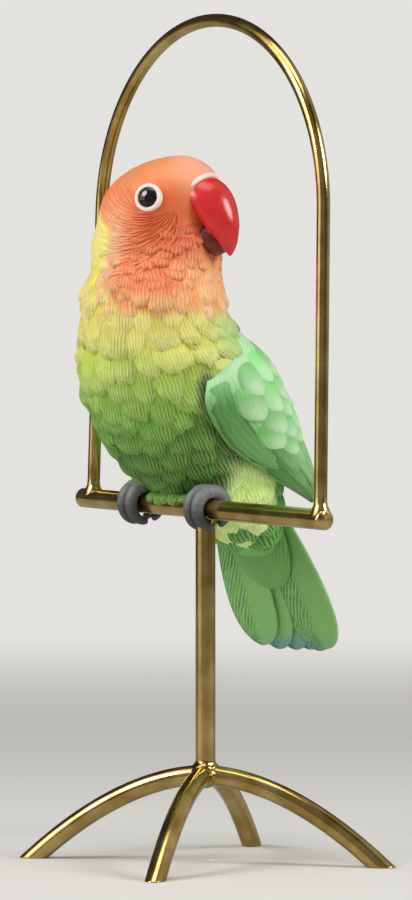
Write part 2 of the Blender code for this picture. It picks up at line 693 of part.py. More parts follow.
def build_bird(parts, tools, bar_frame, bird_frame, cuts):
    orange = material("bisque_orange", (0.80, 0.26, 0.10), 0.55)
    green = material("bisque_yellow_green", (0.42, 0.56, 0.13), 0.55)
    mint = material("bisque_wing_green", (0.20, 0.58, 0.20), 0.55)
    leaf = material("bisque_tail_green", (0.10, 0.35, 0.09), 0.55)
    red = material("glazed_beak_red", (0.56, 0.02, 0.03), 0.2)
    maroon = material("glazed_mandible", (0.10, 0.01, 0.01), 0.3)
    white = material("bisque_eye_ring", (0.88, 0.78, 0.74), 0.5)
    black = material("glazed_eye", (0.01, 0.008, 0.008), 0.08)
    grey = material("bisque_toes", (0.14, 0.15, 0.155), 0.5)

    bird = add_object("bird", build_body((green, orange)), parts, parent=bird_frame)
    pieces = [build_mandible(tools, bird_frame, maroon)]
    for side, name in ((1.0, "left_wing_form"), (-1.0, "right_wing_form")):
        pieces.append(as_tool(add_object(name, build_wing(side, mint), tools, parent=bird_frame)))
    pieces += build_tail(tools, bird_frame, leaf)
    pieces.append(build_beak(tools, bird_frame, red))
    for side in (-1.0, 1.0):
        pieces.append(build_eye(side, tools, bird_frame, white, black))
    bar_to_bird = Matrix.Rotation(BAR_TURN - BIRD_TURN, 3, "Z")
    pieces += build_thighs(tools, bird_frame, bar_to_bird, green)
    pieces += build_toes(tools, bar_frame, grey)
    for piece in pieces:
        combine(bird, piece, "UNION")
    for cut in cuts:
        combine(bird, cut, "DIFFERENCE")
    keep_outer_shell(bird)
    shade(bird, 50.0)
    return bird


def keep_outer_shell(piece):
    """Apply the piece's modifiers and fill the small closed pockets left where feathers overlap."""
    bpy.context.view_layer.update()
    mesh = bpy.data.meshes.new_from_object(piece.evaluated_get(bpy.context.evaluated_depsgraph_get()))
    piece.modifiers.clear()
    piece.data = mesh
    bm = bmesh.new()
    bm.from_mesh(mesh)
    waiting = set(bm.faces)
    shells = []
    while waiting:
        front = [waiting.pop()]
        shell = list(front)
        while front:
            for edge in front.pop().edges:
                for face in edge.link_faces:
                    if face in waiting:
                        waiting.remove(face)
                        front.append(face)
                        shell.append(face)
        shells.append(shell)
    shells.sort(key=len)
    for pocket in shells[:-1]:
        bmesh.ops.delete(bm, geom=pocket, context="FACES")
    bm.to_mesh(mesh)
    bm.free()


def centre_on_footprint(root, pieces):
    """Shift the root so that the model's box is centred over the origin."""
    bpy.context.view_layer.update()
    graph = bpy.context.evaluated_depsgraph_get()
    points = []
    for piece in pieces:
        shown = piece.evaluated_get(graph)
        points += [shown.matrix_world @ vertex.co for vertex in shown.data.vertices]
    for axis in range(2):
        values = [point[axis] for point in points]
        root.location[axis] = -(min(values) + max(values)) / 2
    bpy.context.view_layer.update()


def main():
    for old in list(bpy.data.objects):
        bpy.data.objects.remove(old)
    parts = bpy.data.collections.new("lovebird_figurine")
    tools = bpy.data.collections.new("tools")
    bpy.context.scene.collection.children.link(parts)
    bpy.context.scene.collection.children.link(tools)

    root = bpy.data.objects.new("figurine_root", None)
    parts.objects.link(root)
    bar_frame = bpy.data.objects.new("bar_frame", None)
    parts.objects.link(bar_frame)
    bar_frame.parent = root
    bar_frame.location.z = BAR_HEIGHT
    bar_frame.rotation_mode = "XYZ"
    bar_frame.rotation_euler = (0.0, BAR_TILT, BAR_TURN)
    bird_frame = bpy.data.objects.new("bird_frame", None)
    parts.objects.link(bird_frame)
    bird_frame.parent = bar_frame
    bird_frame.location.x = BIRD_OFFSET
    bird_frame.rotation_euler = (0.0, 0.0, BIRD_TURN - BAR_TURN)

    brass = material("polished_brass", (0.69, 0.46, 0.12), 0.2, 1.0)
    bar_notch, post_notch = build_stand(parts, tools, root, bar_frame, brass)
    build_bird(parts, tools, bar_frame, bird_frame, (bar_notch, post_notch))
    centre_on_footprint(root, [piece for piece in parts.objects if piece.type == "MESH"])


main()
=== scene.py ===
"""Hand-painted porcelain lovebird on a polished brass perch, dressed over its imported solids."""
import math

import bpy
import numpy as np
from mathutils import Matrix, Vector
from mathutils.bvhtree import BVHTree


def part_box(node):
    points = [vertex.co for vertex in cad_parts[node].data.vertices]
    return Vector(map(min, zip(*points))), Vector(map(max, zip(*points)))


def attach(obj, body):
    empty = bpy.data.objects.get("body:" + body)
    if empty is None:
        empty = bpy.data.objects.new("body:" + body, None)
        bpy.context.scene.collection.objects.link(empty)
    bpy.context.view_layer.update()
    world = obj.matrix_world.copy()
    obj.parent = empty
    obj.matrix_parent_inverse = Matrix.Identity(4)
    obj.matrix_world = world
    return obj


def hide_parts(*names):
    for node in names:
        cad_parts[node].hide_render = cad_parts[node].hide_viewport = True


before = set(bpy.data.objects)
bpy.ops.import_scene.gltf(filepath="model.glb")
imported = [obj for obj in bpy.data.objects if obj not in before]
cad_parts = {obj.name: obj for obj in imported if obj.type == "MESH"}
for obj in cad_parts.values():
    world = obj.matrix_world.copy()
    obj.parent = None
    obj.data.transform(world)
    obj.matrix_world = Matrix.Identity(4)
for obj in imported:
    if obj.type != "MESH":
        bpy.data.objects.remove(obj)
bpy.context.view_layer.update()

# ---- Legs ----
# One brass rod of 3/16 in, arched and run down to the left and right feet, and two half rods brazed to
# it at the hub for the front and back feet. The ends are sawn flat where they meet the table.
MM = 0.001
ROD = 4.76 * MM
FEET_SPAN = 86.2 * MM
HUB_HEIGHT = 20.9 * MM
LEG_CURVE = 1.85
BRAZE = 1.3 * MM        # reach of the filler where two rods join

post_low, post_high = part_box("post")
stand_axis = np.array([(post_low.x + post_high.x) / 2, (post_low.y + post_high.y) / 2, 0.0])


def linear(hex_colour):
    """An sRGB hex colour as linear red, green and blue."""
    parts = np.array([int(hex_colour[i:i + 2], 16) / 255 for i in (1, 3, 5)])
    return np.where(parts <= 0.04045, parts / 12.92, ((parts + 0.055) / 1.055) ** 2.4)


def feed(tree, target, inputs):
    """Give a node's sockets plain values, another node's output, or a node's first output in use."""
    for socket, value in inputs.items():
        if isinstance(value, bpy.types.Node):
            value = next(output for output in value.outputs if output.enabled)
        if isinstance(value, bpy.types.NodeSocket):
            tree.links.new(value, target.inputs[socket])
        else:
            target.inputs[socket].default_value = value


def node(tree, kind, inputs=None, **settings):
    """Add one shader node with its inputs and settings."""
    made = tree.nodes.new("ShaderNode" + kind)
    for name, value in settings.items():
        setattr(made, name, value)
    feed(tree, made, inputs or {})
    return made


def new_material(name):
    """A material with its node tree, its shader and the place on the piece in metres."""
    made = bpy.data.materials.new(name)
    made.use_nodes = True
    tree = made.node_tree
    return made, tree, tree.nodes["Principled BSDF"], node(tree, "TexCoord").outputs["Object"]


def skin(name, points, wrap=False, ends=False, facts=None, inside=None):
    """Mesh over sheets of points, each rows by columns. wrap joins a row into a ring, ends closes the
    first and last ring, facts are values per point, and inside is a point the faces turn away from."""
    points = np.asarray(points, float)
    points = points[None] if points.ndim == 3 else points
    sheets, rows, columns = points.shape[:3]
    index = np.arange(sheets * rows * columns).reshape(sheets, rows, columns)
    after = np.roll(index, -1, axis=2)
    last = columns if wrap else columns - 1
    quads = np.stack([index[:, :-1, :last], after[:, :-1, :last], after[:, 1:, :last], index[:, 1:, :last]],
                     axis=-1).reshape(-1, 4)
    flat = points.reshape(-1, 3)
    middle = flat.mean(axis=0) if inside is None else np.asarray(inside, float)
    corner = flat[quads]
    normal = np.cross(corner[:, 2] - corner[:, 0], corner[:, 3] - corner[:, 1])
    inward = np.sum(normal * (corner.mean(axis=1) - middle)) < 0
    if inward:
        quads = quads[:, ::-1]
    faces = quads.tolist()
    if ends:
        for sheet in index:
            first, final = sheet[0].tolist(), sheet[-1].tolist()
            faces += [first, final[::-1]] if inward else [first[::-1], final]
    mesh = bpy.data.meshes.new(name)
    mesh.from_pydata(flat.tolist(), [], faces)
    for fact, values in (facts or {}).items():
        values = np.asarray(values, np.float32)
        values = values.reshape(len(flat), -1)
        kind, field = "FLOAT", "value"
        if values.shape[1] == 3:
            kind, field = "FLOAT_COLOR", "color"
            values = np.concatenate([values, np.ones((len(flat), 1))], axis=1)
        mesh.attributes.new(fact, kind, "POINT").data.foreach_set(field, values.ravel())
    mesh.shade_smooth()
    piece = bpy.data.objects.new(name, mesh)
    bpy.context.scene.collection.objects.link(piece)
    return piece


def dress(piece, finish, slot, *stands_for):
    """Give a piece its finish, fix it to the figurine and hide what it stands for. slot is not used."""
    piece.data.materials.append(finish)
    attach(piece, "root")
    if stands_for:
        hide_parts(*stands_for)
    return piece


def polished_brass():
    """Yellow brass, drawn and hand polished: sharp reflections with soft smears and a few pits."""
    made, tree, shader, place = new_material("polished_brass")
    smear = node(tree, "TexNoise", {"Vector": place, "Scale": 1 / 0.009, "Detail": 3.0})
    pits = node(tree, "TexNoise", {"Vector": place, "Scale": 1 / 0.0009, "Detail": 2.0})
    tone = node(tree, "ValToRGB", {"Fac": smear})
    for stop, (position, colour) in zip(tone.color_ramp.elements, ((0.35, "#B8964E"), (0.65, "#E4C883"))):
        stop.position = position
        stop.color = (*linear(colour), 1.0)
    gloss = node(tree, "MapRange", {"Value": smear, "To Min": 0.12, "To Max": 0.24})
    relief = node(tree, "Bump", {"Height": pits, "Strength": 0.12, "Distance": 0.06 * MM})
    feed(tree, shader, {"Base Color": tone, "Roughness": gloss, "Normal": relief, "Metallic": 1.0})
    return made


brass = polished_brass()


def leg_skin(spread, around):
    """Point on the round skin of an arched leg that runs out along X from the hub."""
    spread, around = np.broadcast_arrays(spread, around)
    share = np.abs(spread) / (FEET_SPAN / 2)
    fall = -HUB_HEIGHT * LEG_CURVE / (FEET_SPAN / 2) * share ** (LEG_CURVE - 1) * np.sign(spread)
    steep = np.hypot(1, fall)
    up = ROD / 2 * np.cos(around)
    x = spread - up * fall / steep
    z = HUB_HEIGHT * (1 - share ** LEG_CURVE) + up / steep
    return np.stack([x, ROD / 2 * np.sin(around), z], axis=-1)


# each line along the rod runs out until it meets the table
leg_turn = np.arange(40) * 2 * np.pi / 40
near, far = np.full(40, FEET_SPAN * 0.4), np.full(40, FEET_SPAN * 0.6)
for _ in range(40):
    middle = (near + far) / 2
    above = leg_skin(middle, leg_turn)[:, 2] > 0
    near, far = np.where(above, middle, near), np.where(above, far, middle)
sawn = (near + far) / 2

run = np.linspace(-1, 1, 241)[:, None] * sawn
dress(skin("side_leg_rod", leg_skin(run, leg_turn[None]) + stand_axis, wrap=True, ends=True), brass, "brass",
      "side_legs")
for leg, (ahead, aside) in {"front_leg": ((0, -1), (1, 0)), "back_leg": ((0, 1), (-1, 0))}.items():
    run = np.linspace(0, 1, 161)[:, None] * sawn
    rod = leg_skin(run, leg_turn[None])
    centre = leg_skin(run, leg_turn[None] * 0 + np.pi / 2) * np.array([1, 0, 1])
    off_side_rod = np.hypot(rod[..., 0], rod[..., 2] - HUB_HEIGHT) - ROD / 2
    flare = 0.6 * BRAZE * np.clip(1 - off_side_rod / BRAZE, 0, 1) ** 2
    outward = (rod - centre) / (ROD / 2)
    rod = rod + outward * flare[..., None]
    turned = np.stack([rod[..., 0] * ahead[0] + rod[..., 1] * aside[0],
                       rod[..., 0] * ahead[1] + rod[..., 1] * aside[1], rod[..., 2]], axis=-1)
    dress(skin(leg + "_rod", turned + stand_axis, wrap=True, ends=True), brass, "brass", leg)

# ---- Post and perch bar ----
# Straight brass rod, coped over the hub and under the bar and brazed with small fillets. The bar's
# ends are turned with a small chamfer.
BAR_HEIGHT = 84.4 * MM
BAR_LENGTH = 101.6 * MM
BAR_TURN = math.radians(-39.5)
BAR_TILT = math.radians(2.0)
BAR_CHAMFER = 0.45 * MM
BAR_SHIFT = -2.5 * MM
bar_place = Matrix.Translation((stand_axis[0], stand_axis[1], BAR_HEIGHT)) @ Matrix.Rotation(
    BAR_TURN, 4, "Z") @ Matrix.Rotation(BAR_TILT, 4, "Y")


def unit(vectors):
    """Vectors scaled to length 1."""
    return vectors / np.linalg.norm(vectors, axis=-1, keepdims=True)


def put(points, place):
    """Points moved by a placing matrix."""
    turn = np.array(place)
    return np.asarray(points) @ turn[:3, :3].T + turn[:3, 3]


def axis_gap(points, at, along, radius):
    """How far points lie from the skin of a straight rod through a point."""
    along = unit(np.asarray(along, float))
    rel = points - at
    return np.linalg.norm(rel - (rel @ along)[..., None] * along, axis=-1) - radius


turn = np.arange(48) * 2 * np.pi / 48
height = np.concatenate([np.linspace(HUB_HEIGHT, HUB_HEIGHT + 6 * MM, 40), np.linspace(30 * MM, 76 * MM, 12),
                         np.linspace(78 * MM, BAR_HEIGHT, 40)])
outward = np.stack([np.cos(turn), np.sin(turn), 0 * turn], axis=-1)[None]
post = outward * ROD / 2 + stand_axis + height[:, None, None] * np.array([0, 0, 1.0])
hub = stand_axis + np.array([0, 0, HUB_HEIGHT])
bar_axis = np.array(bar_place.to_3x3() @ Vector((1, 0, 0)))
gap = np.minimum(np.minimum(axis_gap(post, hub, (1, 0, 0), ROD / 2), axis_gap(post, hub, (0, 1, 0), ROD / 2)),
                 axis_gap(post, np.array(bar_place.translation), bar_axis, ROD / 2))
post = post + outward * (0.6 * BRAZE * np.clip(1 - gap / BRAZE, 0, 1) ** 2)[..., None]
dress(skin("post_rod", post, wrap=True, ends=True), brass, "brass", "post")

half = BAR_LENGTH / 2
stops = -half + BAR_CHAMFER * np.array([0.0, 0.4, 1.0, 3.0])
radii = ROD / 2 - BAR_CHAMFER * np.array([1.0, 0.35, 0.0, 0.0])
stops, radii = np.concatenate([stops, -stops[::-1]]), np.concatenate([radii, radii[::-1]])
bar = np.stack([np.broadcast_to(stops[:, None] + BAR_SHIFT, (8, 48)), radii[:, None] * np.cos(turn),
                radii[:, None] * np.sin(turn)], axis=-1)
bar_piece = dress(skin("perch_bar_rod", put(bar, bar_place), wrap=True, ends=True), brass, "brass",
                  "perch_bar")
bar_piece.data.set_sharp_from_angle(angle=math.radians(50))

# ---- Hoop ----
# Thinner brass wire bent to an inverted U with a round crown, its feet brazed on top of the bar with a
# small bead of filler each.
WIRE = 3.1 * MM
HOOP_SHIFT = -1.2 * MM
HOOP_FOOT_SPAN = 94.6 * MM
HOOP_CROWN_RADIUS = 46.0 * MM
HOOP_HEIGHT = 116.4 * MM
crown_centre = HOOP_HEIGHT - HOOP_CROWN_RADIUS
foot = HOOP_FOOT_SPAN / 2
tangent = math.atan2(-crown_centre, foot) + math.acos(HOOP_CROWN_RADIUS / math.hypot(foot, crown_centre))
sweep = np.linspace(tangent, math.pi - tangent, 221)
arch = np.stack([HOOP_CROWN_RADIUS * np.cos(sweep), 0 * sweep,
                 crown_centre + HOOP_CROWN_RADIUS * np.sin(sweep)], axis=-1)
rise = (1 - np.linspace(1, 0, 120) ** 1.8)[:-1, None]
right_foot, left_foot = np.array([foot, 0, 0]), np.array([-foot, 0, 0])
path = np.concatenate([right_foot + rise * (arch[0] - right_foot), arch,
                       (left_foot + rise * (arch[-1] - left_foot))[::-1]])
ahead = unit(np.gradient(path, axis=0))
off = np.cross(ahead, np.array([0, 1.0, 0]))
turn = np.arange(32) * 2 * np.pi / 32
outward = np.cos(turn)[None, :, None] * off[:, None] + np.sin(turn)[None, :, None] * np.array([0, 1.0, 0])
hoop = path[:, None] + outward * WIRE / 2
gap = axis_gap(hoop, np.zeros(3), (1, 0, 0), ROD / 2)
hoop = hoop + outward * (0.55 * BRAZE * np.clip(1 - gap / (1.2 * BRAZE), 0, 1) ** 1.6)[..., None]
hoop[..., 0] += HOOP_SHIFT
dress(skin("hoop_wire", put(hoop, bar_place), wrap=True, ends=True), brass, "brass", "hoop")

# ---- Bird: the cast body and head ----
# Slip-cast bisque porcelain, left unglazed and painted by hand: a soft matt skin. The smooth form here
# carries the carved feathers, and shows itself on the crown, face and nape.
BIRD_OFFSET = -13.1 * MM
BIRD_TURN = math.radians(-22.5)
BODY_WIDTH = 50.0 * MM
BODY_DEPTH = 46.0 * MM
NECK_HEIGHT = 57.0 * MM
VENT_DROP = 13.0 * MM
HEAD_TURN = math.radians(95.0)
HEAD_LENGTH = 31.0 * MM
HEAD_WIDTH = 27.6 * MM
HEAD_RISE = 27.3 * MM
HEAD_FORWARD = np.array([math.sin(HEAD_TURN), -math.cos(HEAD_TURN), 0.0])
HEAD_SIDE = np.array([math.cos(HEAD_TURN), math.sin(HEAD_TURN), 0.0])
#        height  back    tilt  side   front  rear
TRUNK = (
    (-0.228, 0.610, 38.0, 0.08, 0.06, 0.06),
    (-0.205, 0.590, 38.0, 0.24, 0.17, 0.19),
    (-0.150, 0.545, 38.0, 0.36, 0.28, 0.34),
    (-0.080, 0.480, 38.0, 0.44, 0.34, 0.50),
    (0.020, 0.390, 38.0, 0.52, 0.43, 0.62),
    (0.165, 0.290, 36.0, 0.70, 0.69, 0.74),
    (0.325, 0.185, 33.0, 0.915, 0.91, 0.83),
    (0.490, 0.065, 27.0, 1.025, 0.99, 0.78),
    (0.650, -0.038, 18.0, 0.93, 0.98, 0.65),
    (0.800, -0.120, 9.0, 0.715, 0.86, 0.55),
    (0.930, -0.147, 3.0, 0.655, 0.71, 0.55),
    (1.080, -0.120, 0.0, 0.62, 0.64, 0.62),
    (1.480, -0.092, 0.0, 0.62, 0.64, 0.62),
)
#        height  lean   fore   aft    side
HEAD = (
    (-0.30, -0.14, 1.04, 1.06, 1.08),
    (0.00, -0.15, 1.04, 1.04, 1.08),
    (0.20, -0.10, 1.02, 1.04, 1.06),
    (0.34, -0.05, 0.92, 1.05, 1.03),
    (0.48, 0.00, 0.84, 1.06, 1.00),
    (0.62, 0.02, 0.84, 1.02, 0.96),
    (0.75, 0.07, 0.80, 0.91, 0.86),
    (0.87, 0.14, 0.61, 0.70, 0.66),
    (0.95, 0.20, 0.38, 0.44, 0.40),
    (0.99, 0.24, 0.14, 0.17, 0.15),
    (1.00, 0.25, 0.01, 0.01, 0.01),
)
bird_place = (bar_place @ Matrix.Translation((BIRD_OFFSET, 0, 0))
              @ Matrix.Rotation(BIRD_TURN - BAR_TURN, 4, "Z"))
BIRD_HEART = np.array([0.0, 0.010, 0.030])
bird_heart = put(BIRD_HEART, bird_place)


def through(levels, values, at):
    """Smooth curve through stations that never swings past them."""
    levels, values = np.asarray(levels, float), np.asarray(values, float)
    step = np.diff(levels)
    slope = np.diff(values) / step
    tangent = np.concatenate([slope[:1], np.zeros(len(step) - 1), slope[-1:]])
    both = slope[:-1] * slope[1:]
    keep = both > 0
    tangent[1:-1][keep] = 2 * both[keep] / (slope[:-1] + slope[1:])[keep]
    at = np.clip(np.asarray(at, float), levels[0], levels[-1])
    k = np.clip(np.searchsorted(levels, at, side="right") - 1, 0, len(step) - 1)
    u = (at - levels[k]) / step[k]
    return (values[k] * (1 + 2 * u) * (1 - u) ** 2 + values[k + 1] * u * u * (3 - 2 * u)
            + step[k] * (tangent[k] * u * (1 - u) ** 2 - tangent[k + 1] * u * u * (1 - u)))


def fade(low, high, x):
    """0 below low, 1 above high and smooth between."""
    t = np.clip((np.asarray(x, float) - low) / (high - low), 0.0, 1.0)
    return t * t * (3 - 2 * t)


def station(table, column, at):
    """One column of a table of sections, read between its rows."""
    rows = np.array(table)
    return through(rows[:, 0], rows[:, column], at)


def body_point(level, angle, lift=0.0):
    """Point on the bird's skin: level is the section's height, angle goes round from the breast by the
    left side to the back."""
    level, angle, lift = np.broadcast_arrays(np.asarray(level, float), angle, lift)
    share = level / NECK_HEIGHT
    tilt = np.radians(station(TRUNK, 2, share))
    tall = (level - NECK_HEIGHT) / HEAD_RISE
    head = fade(-0.15, 0.25, tall)
    lean = station(HEAD, 1, tall) * HEAD_LENGTH / 2 * head
    side, fore = np.sin(angle), np.cos(angle)
    depth = np.where(fore > 0, station(TRUNK, 4, share), station(TRUNK, 5, share)) * BODY_DEPTH / 2
    trunk = 1 / np.hypot(side / (station(TRUNK, 3, share) * BODY_WIDTH / 2), fore / depth)
    head_side, head_fore = np.sin(angle - HEAD_TURN), np.cos(angle - HEAD_TURN)
    length = np.where(head_fore > 0, station(HEAD, 2, tall), station(HEAD, 3, tall)) * HEAD_LENGTH / 2
    skull = 1 / np.hypot(head_side / (station(HEAD, 4, tall) * HEAD_WIDTH / 2), head_fore / length)
    reach = trunk * (1 - head) + skull * head + lift
    forward = reach * fore
    y = station(TRUNK, 1, share) * NECK_HEIGHT - forward * np.cos(tilt) + lean * HEAD_FORWARD[1]
    return np.stack([reach * side + lean * HEAD_FORWARD[0], y, level - forward * np.sin(tilt)], axis=-1)


head_base = np.array([0.0, float(station(TRUNK, 1, 1 + 0.45 * HEAD_RISE / NECK_HEIGHT)) * NECK_HEIGHT, 0.0])


def head_place(forward, side, height):
    """Point given forward of the head's axis, to its right side and above the bar."""
    forward, side, height = np.broadcast_arrays(np.asarray(forward, float), side, height)
    spot = head_base + forward[..., None] * HEAD_FORWARD - side[..., None] * HEAD_SIDE
    return np.stack([spot[..., 0], spot[..., 1], height], axis=-1)


def face_angle(points):
    """Degrees round the head's axis, from straight ahead of the beak."""
    rel = points - head_base
    flat_reach = np.maximum(np.hypot(rel[..., 0], rel[..., 1]), 1e-6)
    return np.degrees(np.arccos(np.clip((rel @ HEAD_FORWARD) / flat_reach, -1, 1)))


def blend(a, b, share):
    """Colour a share of the way from a to b, either of which may be a hex colour."""
    a, b = [linear(colour) if isinstance(colour, str) else colour for colour in (a, b)]
    return a + (b - a) * np.asarray(share)[..., None]


def plumage(points):
    """Painted colour at points of the bird's body, airbrushed from the orange face to the green belly."""
    z = points[..., 2] / MM
    facing = face_angle(points)
    low = 1 - fade(15, 39, z)
    around = np.degrees(np.abs(np.arctan2(points[..., 0], -(points[..., 1] - 0.30 * BODY_DEPTH * low))))
    # darker from the breast down to the belly: the belly's own green, deepened with painted shade of the
    # lower body
    paint = "#5E9630"
    for colour, share in (
            ("#88BE48", fade(6, 22, z)),
            ("#D6E67C", fade(17, 34, z)),
            ("#F0E688", fade(31, 43, z)),
            # sides and flanks
            ("#DCE88A", fade(38, 75, around) * fade(26, 38, z) * 0.8),
            ("#A9D47C", fade(45, 80, around) * fade(8, 20, z) * (1 - fade(28, 38, z)) * 0.7),
            # back, thighs and rump
            ("#74B856", fade(100, 140, around) * (1 - fade(40, 56, z))),
            ("#EAFFAC", fade(46, 58, around) * (1 - fade(110, 135, around)) * (1 - fade(7, 17, z))),
            ("#2D5FB4", fade(140, 160, around) * fade(0, 6, z) * (1 - fade(14, 22, z)))):
        paint = blend(paint, colour, share)
    face = "#EE8C55"
    for colour, share in (
            # cheeks, crown and forehead
            ("#DE6834", fade(56, 68, z) * (1 - fade(74, 80, z)) * (1 - fade(70, 104, facing))),
            ("#E68F58", fade(76, 83, z) * 0.8),
            ("#F6A98A", (1 - fade(5, 62, facing)) * fade(70, 80, z)),
            # behind the cheeks, and the throat under the beak
            ("#EFB98C", fade(84, 108, facing) * (1 - fade(62, 76, z))),
            ("#FFC88E", (1 - fade(20, 56, facing)) * (1 - fade(56, 63, z)) * 0.9)):
        face = blend(face, colour, share)
    bib = 46.6 + 6.0 * fade(72, 118, facing)
    rim = 113 + 60 * fade(64, 76, z)
    orange = fade(-1.2, 1.2, z - bib) * (1 - fade(rim - 9, rim + 6, facing))
    return blend(paint, face, orange)


def painted_bisque():
    """Unglazed porcelain under matt enamels: a soft chalky sheen, painted shade in a deeper colour in the
    stroke grooves and hollows, and a painted highlight in a paler colour on the crests. The barb strokes are
    0.7 mm apart on breast and throat."""
    made, tree, shader, place = new_material("painted_bisque")
    paint = node(tree, "Attribute", attribute_name="paint").outputs["Color"]
    barb, rise, carve = [node(tree, "Attribute", attribute_name=fact).outputs["Fac"]
                         for fact in ("barb", "rise", "carve")]
    waver, broken, grit = [node(tree, "TexNoise", {"Vector": place, "Scale": 1 / size, "Detail": detail})
                           for size, detail in ((0.0026, 2.0), (0.0017, 1.0), (0.0006, 2.0))]
    phase = node(tree, "Math", {0: waver, 1: 0.9, 2: barb}, operation="MULTIPLY_ADD")
    turns = node(tree, "Math", {0: phase, 1: 2 * math.pi}, operation="MULTIPLY")
    wave = node(tree, "Math", {0: turns}, operation="SINE")
    crest = node(tree, "MapRange", {"Value": wave, "From Min": -1.0, "From Max": 1.0})
    groove = node(tree, "Math", {0: 1.0, 1: crest}, operation="SUBTRACT")
    depth = node(tree, "MapRange",
                 {"Value": broken, "From Min": 0.3, "From Max": 0.62, "To Min": 0.25, "To Max": 1.0})
    carved = node(tree, "Math", {0: carve, 1: depth}, operation="MULTIPLY")
    stroke = node(tree, "Math", {0: groove, 1: carved}, operation="MULTIPLY")
    # painted shade: where rise is low, in the hollows, and in the stroke grooves the paint is mixed towards a
    # deeper colour
    hollow_shade = node(tree, "MapRange",
                {"Value": rise, "From Min": 0.1, "From Max": 0.85, "To Min": 1.0, "To Max": 0.0},
                interpolation_type="SMOOTHSTEP")
    painted_shade = node(tree, "Math", {0: stroke, 1: hollow_shade}, operation="ADD", use_clamp=True)
    deep = node(tree, "Gamma", {"Color": paint, "Gamma": 1.9})
    shade_mixed = node(tree, "Mix", {"Factor": painted_shade, "A": paint, "B": deep}, data_type="RGBA")
    ridge = node(tree, "Math", {0: crest, 1: carved}, operation="MULTIPLY")
    # painted highlight: on the crests of the carved strokes the paint is mixed towards a paler colour
    crest_highlight = node(tree, "Math", {0: ridge, 1: 0.5}, operation="MULTIPLY")
    pale = node(tree, "Gamma", {"Color": paint, "Gamma": 0.55})
    colour = node(tree, "Mix", {"Factor": crest_highlight, "A": shade_mixed, "B": pale}, data_type="RGBA")
    height = node(tree, "Math", {0: grit, 1: 0.12, 2: ridge}, operation="MULTIPLY_ADD")
    relief = node(tree, "Bump", {"Height": height, "Strength": 1.0, "Distance": 0.3 * MM})
    matt = node(tree, "MapRange", {"Value": grit, "To Min": 0.42, "To Max": 0.6})
    feed(tree, shader, {"Base Color": colour, "Roughness": matt, "Normal": relief})
    return made


bisque = painted_bisque()


def painted(name, points, paint, barb, rise, carve, place=bird_place, stands_for=(), **form):
    """A piece of the casting. Per point, paint is the colour, barb counts the hair strokes, rise goes
    from 0 in a hollow to 1 on a crest and sets how much painted shade the point gets, and carve is how
    strongly the strokes are cut, which sets the painted shade in their grooves and highlight on their crests."""
    facts = {"paint": np.broadcast_to(paint, points.shape)}
    for fact, values in (("barb", barb), ("rise", rise), ("carve", carve)):
        facts[fact] = np.broadcast_to(values, points.shape[:-1])
    return dress(skin(name, put(points, place), facts=facts, **form), bisque, "bisque", *stands_for)


EYE_TALL = 0.616        # share of the crown's rise above the neck
EYE_AHEAD = 0.245       # share of half the head's length
FEATHER_BED = 1.0 * MM


def feather_bed(level, angle, lift=0.0):
    """The skin under the carved feathers: they stand out of the form as far as their hollows go in."""
    return body_point(level, angle, lift - FEATHER_BED * (1 - fade(44 * MM, 51 * MM, level)))


levels = np.concatenate([np.linspace(-0.99 * VENT_DROP, NECK_HEIGHT, 110)[:-1],
                         NECK_HEIGHT + HEAD_RISE * np.sin(np.linspace(0, np.pi / 2, 120))])
angle = np.linspace(0, 2 * np.pi, 240, endpoint=False)
level_grid, angle_grid = np.meshgrid(levels, angle, indexing="ij")
body = feather_bed(level_grid, angle_grid)
eye_height = NECK_HEIGHT + EYE_TALL * HEAD_RISE
combed = 0.5 * fade(44 * MM, 50 * MM, level_grid) * (np.cos(angle_grid - HEAD_TURN) < -0.2)
combed = combed * (1 - 0.7 * fade(0.75, 0.95, (level_grid - NECK_HEIGHT) / HEAD_RISE))
painted("body_and_head", body, plumage(body), angle_grid * 13.5 / 0.8, 0.9, combed, wrap=True, ends=True,
        inside=bird_heart, stands_for=("bird",))

# ---- Breast, belly and back feathers ----
# Rounded tufts pressed and carved into the clay before firing. Each overlaps the next row down, with
# fine hair strokes fanned from its root, and painted shade, a deeper colour, in the hollow above it.
TUFT_WIDTH = 6.8 * MM
TUFT_ROWS = 18
TUFT_LIFT = 1.75 * MM
STROKE = 0.7 * MM
chance = np.random.default_rng(7)


